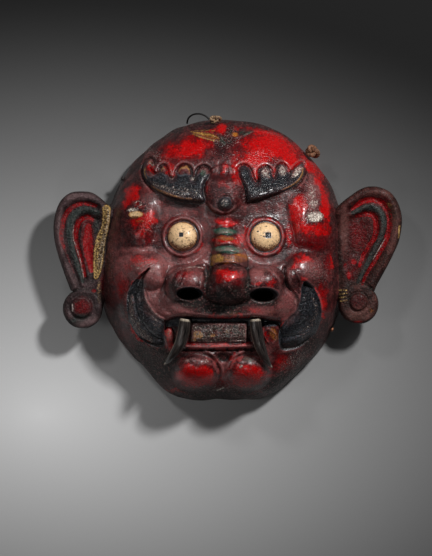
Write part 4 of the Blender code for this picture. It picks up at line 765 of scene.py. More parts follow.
    # Grime, and also painted shade: under the nose tip, round the nostrils, on the philtrum, between the
    # wings and the muzzle lobes, and on the downward-facing chin and jaw.
    grime: Touches = dabs((-87.9, -120.8, 33.8, 29.3, 1.4, -42), (-14.6, -159.1, 69.9, 10.7, 1.4),
        (69.9, -141.1, 40.6, 19.2, 1.4, 38), (0, -48.7, 29.3, 13.5, 1.4), (2.3, -38.5, 19.2, 9, 1.2),
        (-22.5, -32.9, 5.6, 16.9, 1.2), (-42.8, -49.8, 23.7, 10.1, 1.4), (-6.7, -58.8, 31.5, 7.9, 1.3),
        (-62, -37.4, 7.9, 14.6, 1.0), (-2.2, 131.6, 11.3, 4.5, 0.6), (4, 145.1, 2.9, 9, 1.0),
        (21.4, -36.3, 5.6, 14.6, 1.2), (40.6, -49.8, 20.3, 6.8, 1.4), (71, -99.4, 16.9, 5.6, 1.2, 14),
        (-78.9, -73.5, 3.4, 3.4, 0.5), (96.9, -102.8, 16.9, 20.3, 1.15, 40), (-57.4, -93.8, 4.5, 18, 0.9),
        (20.3, -12.6, 3.4, 11.3, 0.5), (-105.9, 111.3, 15.8, 36.1, 0.7, -40), (-130.7, 18.9, 11.3, 67.6, 0.6),
        (115, -88.1, 11.3, 29.3, 0.9, 20), (119.5, 18.9, 5.6, 67.6, 0.5), (69.9, -97.1, 13.5, 6.8, 0.4),
        (-5.6, -115.2, 7.9, 5.6, 0.7), (-116, 24.6, 13.5, 15.8, 0.45), (101.4, -82.5, 5.6, 18, 0.5, 20),
        (95.8, 5.4, 22.5, 3.4, 0.55, -8), (-58.6, -146.7, 22.5, 6.8, 0.5), (13.5, 141.7, 13.5, 5.6, 0.35))
    blister: Touches = dabs((102.6, -17.1, 10.1, 14.6, 1.0), (-98, 57.2, 10.1, 6.8, 0.9, -30),
        (-105.9, -55.4, 9, 16.9, 1.0, -12), (90.2, -45.3, 5.6, 9, 1.0), (-2.2, 133.8, 13.5, 7.9, 1.0),
        (3.4, 145.1, 4.5, 10.1, 0.8), (95.8, 64, 7.9, 24.8, 0.9), (-91.2, 35.8, 10.1, 9, 0.7),
        (-82.2, -82.5, 10.1, 11.3, 0.5), (-99.1, -5.9, 13.5, 6.8, 0.5), (42.8, 86.5, 33.8, 11.3, 0.7, 14),
        (-28.1, 95.5, 6.8, 6.8, 0.8), (13.5, -138.8, 33.8, 10.1, 0.5), (-90.1, -118.5, 29.3, 27, 0.6, -42),
        (-14.6, -152.4, 67.6, 9, 0.7), (-103.6, -71.2, 11.3, 31.5, 1.0, 14),
        (-87.9, -87, 15.8, 11.3, 0.8, -30), (87.9, -78, 14.6, 22.5, 0.7), (-9, -83.6, 33.8, 10.1, 0.6),
        (-87.9, 118.1, 27, 9, 0.8, -36), (-58.6, 77.5, 38.3, 11.3, 0.9, -18),
        (47.3, 79.8, 38.3, 10.1, 0.9, 16), (81.1, -123.1, 24.8, 18, 0.5, 38), (-135.2, 7.6, 6.8, 67.6, 0.6))

    specks: Touches = dabs((33.7, 28.5, 1.7, 1, 0.9, 20), (43.3, 34.2, 0.9, 0.8, 0.85),
        (37, 23.9, 1, 0.7, 0.8), (40.1, 23, 1.6, 0.8, 0.9, -20), (45.1, 24.6, 3.6, 2.9, 0.75, 20),
        (50, 17.8, 0.7, 0.9, 0.8), (30, 20, 1.1, 1.6, 0.7), (38.3, 11.5, 0.9, 0.7, 0.7),
        (-43, 33.6, 0.9, 0.8, 0.8), (-39.2, 30.6, 1.4, 1.1, 0.75), (-62.2, 17.1, 0.9, 1.6, 0.75, 30),
        (-55.9, 11.7, 1.1, 0.8, 0.7), (-41, 15.5, 0.9, 0.9, 0.7), (-48, 18.2, 0.6, 1, 0.7),
        (-64.4, 26.8, 0.7, 2, 0.7))

    # Black thinned to grey on the moustaches' lower ends: painted sheen.
    greyed: Touches = dabs((-90.1, -89.3, 16.9, 9, 0.36, -38), (-81.1, -73.5, 6.8, 13.5, 0.32),
        (81.1, -91.5, 18, 10.1, 0.32, 30), (-107, -60, 7.9, 15.8, 0.2))
    matt: Touches = dabs((-5.6, 75.3, 21.4, 21.4, 1.0), (-4.5, 60.6, 9, 9, 1.0), (-78.9, 59.5, 13.5, 18, 0.5),
        (30.4, -5.9, 10.1, 13.5, 0.7), (63.1, -1.4, 10.1, 10.1, 0.5), (-6.7, 103.4, 13.5, 7.9, 0.8),
        (13.5, -5.9, 5.6, 15.8, 0.6), (-37.2, -145.6, 28.2, 10.1, 0.9), (22.6, -145.6, 28.2, 10.1, 0.9),
        (-64.2, -132.1, 6.8, 14.6, 0.8), (51.9, -134.3, 5.6, 13.5, 0.8), (49.6, 0.9, 18, 9, 0.8, -12),
        (67.6, 68.5, 11.3, 6.8, 0.9, 20), (63.1, 46, 6.8, 12.4, 0.8), (75.5, 7.6, 16.9, 3.8, 0.6, -8),
        (-58.6, 58.4, 18, 7.9, 0.5))

    def black(self, carving: Carving, x: Array, y: Array) -> Array:
        """Black paint on brows, moustaches, bead, eye rings and pupils; painted shade round the nostrils and
        painted shadow of the upper lip on the mouth floor.
        """
        forms = carving.brows + carving.moustaches
        plates = highest(*(ramp(-2.0, -0.6, form.depth(x, y)) for form in forms))
        tips = ramp(91.6, 95.5, y + 2.4 * ripple(x, y, 14.0, 31)) * ramp(-18, -22.5, x)
        horn = ramp(-28.4, -21.6, y) * ramp(-71, -76.6, x)
        horn = horn * ramp(18.9, 0.9, y)
        left, right = (eye.share(x, y) for eye in carving.eyes)
        mouth = carving.mouth
        floor = ramp(-0.6, 1.2, mouth.depth(x, y)) * ramp(1.0, -0.5, mouth.plate(x, y))
        return highest(
            plates * (1.0 - 0.8 * tips) * (1.0 - horn), laid(self.specks, x, y),
            *(ramp(1.5, 0.9, eye.square(x, y) / eye.pupil_half) for eye in carving.eyes),
            1.1 * ramp(1.1, 0.8, carving.bead_share(x, y)),
            ramp(1.0, 1.05, right) * ramp(1.16, 1.08, right),
            0.42 * ramp(1.0, 1.05, left) * ramp(1.24, 1.12, left),
            # Painted shade round each nostril's hole.
            ramp(1.3, 1.02, carving.nostril_share(x, y - 0.6)),
            # Painted shadow of the upper lip along the top of the mouth floor.
            0.8 * floor * ramp(-82.5, -75.7, y))

    def umber_at(self, carving: Carving, x: Array, y: Array) -> Array:
        """Brown stain: the touches, and a crescent on each white eye that grows towards its lower rim."""
        total = laid(self.umber, x, y)
        for eye in carving.eyes:
            share = eye.share(x, y)
            low = ramp(0.35, -0.75, (y - eye.at[1]) / eye.radius)
            crescent = np.maximum(0.7 * low * ramp(0.05, 1.1, share), 0.54 * ramp(0.84, 1.0, share))
            total = np.maximum(total, ramp(1.06, 1.0, share) * crescent)
        return total

    def amounts(self, carving: Carving, x: Array, y: Array) -> dict[Paint, Array]:
        """Amount of every paint, 0 to about 1.2, at plan positions in mm."""
        eyes = sum(ramp(1.05, 0.99, eye.share(x, y)) for eye in carving.eyes)
        plate = ramp(-0.4, 0.8, carving.mouth.plate(x, y))
        bare = (1 - eyes) * (1 - plate)
        share = head_share(x, y)
        wx = x + 1.9 * ripple(x, y, 13.0, 21) + 0.9 * ripple(x, y, 5.5, 22)
        wy = y + 1.9 * ripple(x, y, 13.0, 23) + 0.9 * ripple(x, y, 5.5, 24)
        left, right = (bell(eye.share(wx, wy) - eye.lid, 0.13) for eye in carving.eyes)
        plain_edged = (Paint.ORANGE, Paint.GOLD, Paint.GREEN, Paint.CREAM, Paint.SILVER, Paint.GRIME,
                       Paint.BLISTER, Paint.MATT)
        flat = {paint: laid(getattr(self, paint.value), x, y) for paint in plain_edged}
        silver = flat[Paint.SILVER]
        over = np.maximum(np.where(silver > 0.45, silver, 0.0), flat[Paint.GOLD]).clip(0, 1)
        # Darker towards the outline of the head.
        grime = np.maximum(flat[Paint.GRIME], 0.85 * ramp(0.9, 0.99, share))
        grime = grime * (1 - 0.7 * (1.3 * silver).clip(0, 1))
        return flat | {
            Paint.CRIMSON: bare * highest(0.95 * laid(grown(self.red, 1.3), wx, wy),
                                          laid(self.crimson, wx, wy), 0.8 * left + right),
            Paint.RED: bare * np.maximum(laid(self.red, wx, wy), 0.45 * left + 0.8 * right),
            Paint.UMBER: self.umber_at(carving, x, y),
            Paint.RUBBED: laid(self.rubbed, wx, wy) * (1 - eyes),
            Paint.GREEN: np.maximum(flat[Paint.GREEN], 0.44 * plate),
            Paint.CREAM: np.maximum(flat[Paint.CREAM], 1.2 * eyes),
            Paint.SILVER: np.maximum(silver, 0.42 * plate),
            Paint.BLACK: self.black(carving, x, y) * (1 - laid(self.greyed, x, y)) * (1 - 0.9 * over),
            Paint.GRIME: grime * (1 - eyes) * (1 - 0.7 * plate),
            Paint.MATT: np.maximum(flat[Paint.MATT], 0.8 * ramp(0.84, 0.94, share))}


# ---------------------------------------- the blank
CENTRE: Point = (-6.6, -5.5)
CROWN_Z = 96.0
WALL = 11.0
MEAN_REACH = 145.0
MEAN_FULLNESS = 2.4
STEEP = 0.35
OUTLINE: Run = ((3, 141.0), (27, 150.5), (50, 158.5), (71, 166.0), (88, 165.0), (106, 163.5), (125, 156.5),
    (150, 146.0), (174, 141.5), (197, 146.5), (214, 148.0), (234, 152.5), (250, 164.5), (271, 159.0),
    (288, 164.0), (308, 154.0), (326, 150.0), (344, 144.5))


def reach(angle: Array) -> Array:
    """The head's radius in plan at an angle in radians."""
    return around(OUTLINE, np.degrees(angle) % 360.0)


def fullness(angle: Array) -> Array:
    """The dome's exponent: boxier across the temples, rounder at the chin and crown."""
    down = np.sin(angle)
    return 2.45 - 0.35 * ramp(0.3, 1.0, -down) - 0.15 * ramp(0.3, 1.0, down)


def polar(x: Array, y: Array) -> tuple[Array, Array]:
    """Angle and distance from the middle of the head in plan."""
    return np.arctan2(y - CENTRE[1], x - CENTRE[0]), np.hypot(x - CENTRE[0], y - CENTRE[1])


def head_share(x: Array, y: Array) -> Array:
    """Share of the way from the middle of the head to its outline."""
    angle, far = polar(x, y)
    return far / reach(angle)


def plain(x: Array, y: Array) -> Array:
    """Height of the uncarved dome: crown height times (1 - share^p)^(1/p)."""
    p = fullness(polar(x, y)[0])
    return CROWN_Z * np.clip(1 - np.clip(head_share(x, y), 0, 1) ** p, 0, None) ** (1 / p)


def wall_radius(angle: Array, z: Array) -> Array:
    """The plain side wall's radius in plan at an angle and a height."""
    p = fullness(angle)
    return reach(angle) * (1 - np.clip(z / CROWN_Z, 0, 1) ** p) ** (1 / p)


def wall(degrees: float, z: float, out: float) -> Array:
    """A point out mm off the plain side wall, at an angle and a height."""
    angle = np.array(math.radians(degrees))
    r = float(wall_radius(angle, np.array(z))) + out
    return np.array((CENTRE[0] + r * math.cos(angle), CENTRE[1] + r * math.sin(angle), z))


def dome(count: int, height: float, inset: float = 0.0) -> tuple[Array, Array, Array, Array]:
    """A square grid squeezed onto the head: rings of the square become rings of the dome.

    Args:
        count: points along a side of the grid.
        height: crown height in mm.
        inset: how far the outline is drawn in.
    Returns:
        x, y, z and the share of the way out.
    """
    u = np.linspace(-1.0, 1.0, count)
    a, b = np.meshgrid(u, u, indexing="ij")
    wide = np.abs(a) >= np.abs(b)
    with np.errstate(divide="ignore", invalid="ignore"):
        angle = np.where(wide, math.pi / 4 * (b / a), math.pi / 2 - math.pi / 4 * (a / b))
    angle = np.nan_to_num(angle) + np.where(np.where(wide, a, b) < 0, math.pi, 0.0)
    t = np.linspace(0.0, math.pi / 2, 1500)
    s, z = np.sin(t) ** (2 / MEAN_FULLNESS), np.cos(t) ** (2 / MEAN_FULLNESS)
    walk = np.cumsum(np.hypot(np.diff(s) * MEAN_REACH, STEEP * np.diff(z) * CROWN_Z))
    walk = np.concatenate([[0.0], walk])
    phi = np.interp(np.maximum(np.abs(a), np.abs(b)), walk / walk[-1], t)
    p = fullness(angle)
    share = np.sin(phi) ** (2 / p)
    out = share * (reach(angle) - inset)
    x, y = CENTRE[0] + out * np.cos(angle), CENTRE[1] + out * np.sin(angle)
    return x, y, height * np.cos(phi) ** (2 / p), share


# ---------------------------------------- mesh tools
def quads(rows: int, cols: int, start: int = 0, flip: bool = False, loop: bool = False) -> Array:
    """Quad indices of a grid, open or joined round in its second direction."""
    i = np.arange(rows * cols).reshape(rows, cols) + start
    if loop:
        i = np.concatenate([i, i[:, :1]], 1)
    q = np.stack([i[:-1, :-1], i[1:, :-1], i[1:, 1:], i[:-1, 1:]], -1).reshape(-1, 4)
    return q[:, ::-1] if flip else q


def tube(rows: int, cols: int) -> list[Any]:
    """Faces of rings one after another, shut by fans to the two vertices that follow the last ring."""
    last, tip = (rows - 1) * cols, rows * cols
    round_once = [(j, (j + 1) % cols) for j in range(cols)]
    return [*quads(rows, cols, loop=True), *((tip, a, b) for a, b in round_once),
            *((tip + 1, last + b, last + a) for a, b in round_once)]


def border(count: int, start: int = 0) -> Array:
    """Indices round the border of a square grid, in order."""
    i = np.arange(count * count).reshape(count, count) + start
    return np.concatenate([i[0, :-1], i[:-1, -1], i[-1, :0:-1], i[:0:-1, 0]])


def solid(name: str, points: Array, faces: Sequence[Any],
          mats: Sequence[bpy.types.Material]) -> bpy.types.Object:
    """A smooth mesh object at the origin from millimetre points.

    Args:
        name: name of the piece.
        points: vertices in mm.
        faces: vertex indices of each face.
        mats: its materials.
    Returns:
        The object, linked to the scene.
    """
    mesh = bpy.data.meshes.new(name)
    corners = [tuple(int(i) for i in face) for face in faces]
    mesh.from_pydata((np.asarray(points, float) * MM).tolist(), [], corners)
    bm = bmesh.new()
    bm.from_mesh(mesh)
    bmesh.ops.recalc_face_normals(bm, faces=bm.faces)
    bm.to_mesh(mesh)
    bm.free()
    mesh.shade_smooth()
    for mat in mats:
        mesh.materials.append(mat)
    obj = bpy.data.objects.new(name, mesh)
    bpy.context.collection.objects.link(obj)
    return obj


def mark(obj: bpy.types.Object, name: str, values: Array) -> None:
    """Writes one number a vertex as a named attribute."""
    found = obj.data.attributes.get(name) or obj.data.attributes.new(name, "FLOAT", "POINT")
    found.data.foreach_set("value", np.asarray(values, np.float32).ravel())


def places(obj: bpy.types.Object) -> Array:
    """The vertices of a piece in mm."""
    co = np.zeros(len(obj.data.vertices) * 3, np.float32)
    obj.data.vertices.foreach_get("co", co)
    return co.reshape(-1, 3) / MM


def blurred(grid: Array, times: int) -> Array:
    """Repeated mean of the four neighbours on a grid whose first two axes are rows and columns."""
    for _ in range(times):
        g = np.pad(grid, ((1, 1), (1, 1)) + ((0, 0),) * (grid.ndim - 2), mode="edge")
        grid = (g[:-2, 1:-1] + g[2:, 1:-1] + g[1:-1, :-2] + g[1:-1, 2:]) / 4
    return grid


def proud(grid: Array, times: int) -> Array:
    """How far each grid point stands out of its blurred surroundings along its normal, in mm."""
    normal = np.cross(np.gradient(grid, axis=0), np.gradient(grid, axis=1))
    normal /= np.linalg.norm(normal, axis=2, keepdims=True) + 1e-9
    return np.sum((grid - blurred(grid, times)) * normal, 2)


def sweep(line: Array, section: Array) -> tuple[Array, Array, Array]:
    """Carries a section along a line without twisting it.

    Args:
        line: (x, y, z, scale) stations in mm.
        section: (across, up) points of a closed section.
    Returns:
        Points (stations, section, 3), the share along and the angle round.
    """
    way = np.gradient(line[:, :3], axis=0)
    way /= np.linalg.norm(way, axis=1, keepdims=True) + 1e-12
    ref = np.cross(way[0], (0.0, 0.0, 1.0))
    ref = ref if np.linalg.norm(ref) > 0.2 else np.array((1.0, 0.0, 0.0))
    side = np.zeros_like(way)
    for k, direction in enumerate(way):
        ref = ref - direction * np.dot(ref, direction)
        ref = ref / np.linalg.norm(ref)
        side[k] = ref
    up = np.cross(way, side)
    ring = section[None, :, :1] * side[:, None] + section[None, :, 1:] * up[:, None]
    points = line[:, None, :3] + line[:, None, 3:4] * ring
    share = np.broadcast_to(np.linspace(0, 1, len(line))[:, None], points.shape[:2])
    angle = np.broadcast_to(ring_of(len(section))[0], points.shape[:2])
    return points, share, angle


def bar(name: str, line: Array, section: Array, mat: bpy.types.Material) -> bpy.types.Object:
    """A closed bar along a line, its ends shut by a point, with share and angle kept as attributes."""
    points, share, angle = sweep(line, section)
    rows, cols = points.shape[:2]
    flat = np.vstack([points.reshape(-1, 3), points[0].mean(0), points[-1].mean(0)])
    obj = solid(name, flat, tube(rows, cols), (mat,))
    mark(obj, "share", np.concatenate([share.ravel(), [0.0, 1.0]]))
    mark(obj, "across", np.concatenate([np.cos(angle).ravel(), [0.0, 0.0]]))
    mark(obj, "upward", np.concatenate([np.sin(angle).ravel(), [0.0, 0.0]]))
    return obj


def ring_of(sides: int) -> tuple[Array, Array]:
    """Angles round a circle, and its points at radius 1."""
    t = np.linspace(0, 2 * math.pi, sides, endpoint=False)
    return t, np.stack([np.cos(t), np.sin(t)], -1)


# ---------------------------------------- node building
class Sheet:
    """A node tree being laid out: short calls that add a node, set its sockets and join them."""

    def __init__(self, tree: bpy.types.NodeTree) -> None:
        """Starts on an empty tree."""
        self.tree = tree

    def put(self, node: bpy.types.Node, sockets: dict[Any, Any]) -> None:
        """Sets or joins a node's input sockets by name or number."""
        for key, value in sockets.items():
            if isinstance(value, bpy.types.NodeSocket):
                self.tree.links.new(value, node.inputs[key])
            elif isinstance(value, tuple) and len(value) == 3 and node.inputs[key].type == "RGBA":
                node.inputs[key].default_value = (*value, 1.0)
            else:
                node.inputs[key].default_value = value

    def add(self, kind: str, sockets: dict[Any, Any] | None = None, **settings: Any) -> bpy.types.Node:
        """Adds a node, sets its properties, and sets or joins its input sockets."""
        node = self.tree.nodes.new(kind)
        for key, value in settings.items():
            setattr(node, key, value)
        self.put(node, sockets or {})
        return node

    def read(self, name: str) -> Socket:
        """A vertex attribute as a number."""
        return self.add("ShaderNodeAttribute", attribute_name=name).outputs["Fac"]

    def spot(self) -> Socket:
        """Object coordinates."""
        return self.add("ShaderNodeTexCoord").outputs["Object"]

    def scaled(self, where: Socket, scale: Point3) -> Socket:
        """Coordinates stretched by a scale for each axis."""
        return self.add("ShaderNodeMapping", {"Vector": where, "Scale": scale}).outputs[0]

    def noise(self, scale: Value, where: Socket, detail: float = 4.0, rough: float = 0.6) -> Socket:
        """Fractal noise of about 0.2 to 0.8."""
        return self.add("ShaderNodeTexNoise", {"Scale": scale, "Detail": detail, "Roughness": rough,
                                               "Vector": where}).outputs["Fac"]

    def cells(self, scale: float, where: Socket, feature: str = "DISTANCE_TO_EDGE") -> Socket:
        """Distance to the edge or the middle of irregular cells."""
        sockets = {"Scale": scale, "Vector": where}
        return self.add("ShaderNodeTexVoronoi", sockets, feature=feature).outputs["Distance"]

    def maths(self, operation: str, *terms: Value) -> Value:
        """Carries one operation through all the terms, from the first to the last."""
        total = terms[0]
        for term in terms[1:]:
            total = self.add("ShaderNodeMath", {0: total, 1: term}, operation=operation).outputs[0]
        return total

    def plus(self, *terms: Value) -> Value:
        """Sum of the terms."""
        return self.maths("ADD", *terms)

    def times(self, *terms: Value) -> Value:
        """Product of the terms."""
        return self.maths("MULTIPLY", *terms)

    def swing(self, noise: Socket, by: Value) -> Value:
        """A noise taken about its middle and multiplied."""
        return self.times(self.plus(noise, -0.5), by)

    def step(self, value: Value, low: Value, high: Value, a: float = 0.0, b: float = 1.0) -> Socket:
        """Smooth step of a value between low and high, giving a to b."""
        sockets = {"Value": value, "From Min": low, "From Max": high, "To Min": a, "To Max": b}
        return self.add("ShaderNodeMapRange", sockets, interpolation_type="SMOOTHSTEP").outputs[0]

    def mix(self, share: Value, a: Any, b: Any, blend: str = "MIX") -> Socket:
        """Mixes two colours."""
        sockets = {0: share, 6: a, 7: b}
        return self.add("ShaderNodeMix", sockets, data_type="RGBA", blend_type=blend).outputs[2]

    def blend(self, share: Value, a: Value, b: Value) -> Socket:
        """Mixes two numbers."""
        return self.add("ShaderNodeMix", {0: share, 2: a, 3: b}, data_type="FLOAT").outputs[0]

    def bump(self, height: Socket, strength: float = 1.0, distance: float = 1.0) -> Socket:
        """The normal that a height gives; the distance is in metres."""
        sockets = {"Strength": strength, "Distance": distance, "Height": height}
        return self.add("ShaderNodeBump", sockets).outputs["Normal"]


class Group:
    """A shader node group with named inputs (colour where the default is a tuple) and outputs."""

    SOCKETS = {tuple: "NodeSocketColor", float: "NodeSocketFloat", str: "NodeSocketVector"}

    def __init__(self, name: str, inputs: dict[str, Any], **outputs: Any) -> None:
        """Starts the group.

        Args:
            name: its name.
            inputs: default of each input; an empty text stands for coordinates.
            outputs: a value of the kind of each output.
        """
        self.tree = bpy.data.node_groups.new(name, "ShaderNodeTree")
        for key, default in {"Where": "", **inputs}.items():
            kind = self.SOCKETS[type(default)]
            socket = self.tree.interface.new_socket(key, in_out="INPUT", socket_type=kind)
            if default != "":
                socket.default_value = (*default, 1.0) if isinstance(default, tuple) else default
        for key, kind in outputs.items():
            self.tree.interface.new_socket(key, in_out="OUTPUT", socket_type=self.SOCKETS[type(kind)])
        self.sheet = Sheet(self.tree)
        self.given = self.sheet.add("NodeGroupInput").outputs

    def end(self, **outputs: Value) -> bpy.types.NodeTree:
        """Joins the outputs and gives the finished tree."""
        self.sheet.put(self.sheet.add("NodeGroupOutput"), outputs)
        return self.tree


BLACK: Colour = (0.0, 0.0, 0.0)
GREY: Colour = (0.5, 0.5, 0.5)


class Effects:
    """The node groups that several finishes share, each built once."""

    def __init__(self) -> None:
        """Builds the groups."""
        self.layer = self.make_layer()
        self.skin = self.make_skin()
        self.cloudy = self.make_cloudy()

    @staticmethod
    def make_layer() -> bpy.types.NodeTree:
        """One worn layer of paint: it shows where amount plus broad and fine broken noise passes a half."""
        colours = {"Base": BLACK, "Paint": GREY, "Thin paint": GREY}
        numbers = dict.fromkeys(("Amount", "Feather", "Break size", "Break depth", "Tone size"), 0.0)
        group = Group("Paint layer", colours | numbers, Color=GREY, Mask=0.0)
        s, given = group.sheet, group.given
        worn = s.noise(given["Break size"], given["Where"], 9.0, 0.72)
        total = s.plus(given["Amount"], s.swing(worn, given["Break depth"]))
        total = s.times(total, s.step(given["Amount"], 0.02, 0.22))
        mask = s.step(total, s.maths("SUBTRACT", 0.5, given["Feather"]), s.plus(0.5, given["Feather"]))
        thin = s.noise(given["Tone size"], given["Where"], 8.0, 0.7)
        full = s.step(s.plus(thin, s.times(s.plus(total, -0.85), 0.6)), 0.34, 0.64)
        paint = s.mix(full, given["Thin paint"], given["Paint"])
        return group.end(Color=s.mix(mask, given["Base"], paint), Mask=mask)

    @staticmethod
    def make_skin() -> bpy.types.NodeTree:
        """Old brushed lacquer: lumps, grit, cracks, wrinkles and blisters, as one height in metres."""
        group = Group("Lacquer skin", {"Blister": 0.0, "Wrinkles": 0.0}, Height=0.0, Grain=0.0)
        s, given, where = group.sheet, group.given, group.given["Where"]
        grain = s.noise(330.0, where, 2.0, 0.5)
        blobs = s.step(s.noise(480.0, where, 1.0, 0.5), 0.4, 0.62)
        wave = s.add("ShaderNodeTexWave", {"Vector": where, "Scale": 180.0, "Distortion": 12.0, "Detail": 1.0,
                                           "Detail Scale": 0.5}, bands_direction="Y").outputs["Fac"]
        height = s.plus(s.times(s.noise(60.0, where, 1.0, 0.5), 0.001), s.times(grain, 0.0002),
                        s.times(s.step(s.cells(430.0, where), 0.0, 0.16), 0.00008),
                        s.times(wave, given["Wrinkles"], 0.00018), s.times(blobs, given["Blister"], 0.001))
        return group.end(Height=height, Grain=grain)

    @staticmethod
    def make_cloudy() -> bpy.types.NodeTree:
        """Two tones of one material in cloudy patches with fine flecks."""
        given = {"Dark": BLACK, "Light": GREY, "Size": 90.0, "Bias": 0.0}
        group = Group("Cloudy tone", given, Color=GREY, Value=0.0)
        s, given = group.sheet, group.given
        broad = s.noise(given["Size"], given["Where"], 6.0, 0.66)
        fleck = s.noise(s.times(given["Size"], 9.0), given["Where"], 2.0, 0.5)
        value = s.step(s.plus(broad, s.swing(fleck, 0.45), given["Bias"]), 0.34, 0.68)
        return group.end(Color=s.mix(value, given["Dark"], given["Light"]), Value=value)

    def tone(self, s: Sheet, where: Socket, tones: tuple[Colour, Colour], size: float,
             bias: Value = 0.0) -> tuple[Socket, Socket]:
        """Colour and value of a cloudy tone between a dark and a light one."""
        out = s.add("ShaderNodeGroup", node_tree=self.cloudy)
        s.put(out, {"Where": where, "Dark": tones[0], "Light": tones[1], "Size": size, "Bias": bias})
        return out.outputs["Color"], out.outputs["Value"]


def fresh_material(name: str) -> tuple[bpy.types.Material, Sheet, bpy.types.Node]:
    """A new material with its sheet and its Principled node."""
    mat = bpy.data.materials.new(name)
    mat.use_nodes = True
    return mat, Sheet(mat.node_tree), mat.node_tree.nodes["Principled BSDF"]


@dataclass(frozen=True)
class Coat:
    """One paint of the lacquer: its two tones, how its edges break, and how rough it is."""

    paint: Paint
    colour: Colour
    thin: Colour
    feather: float
    break_size: float
    break_depth: float
    tone_size: float
    rough: float


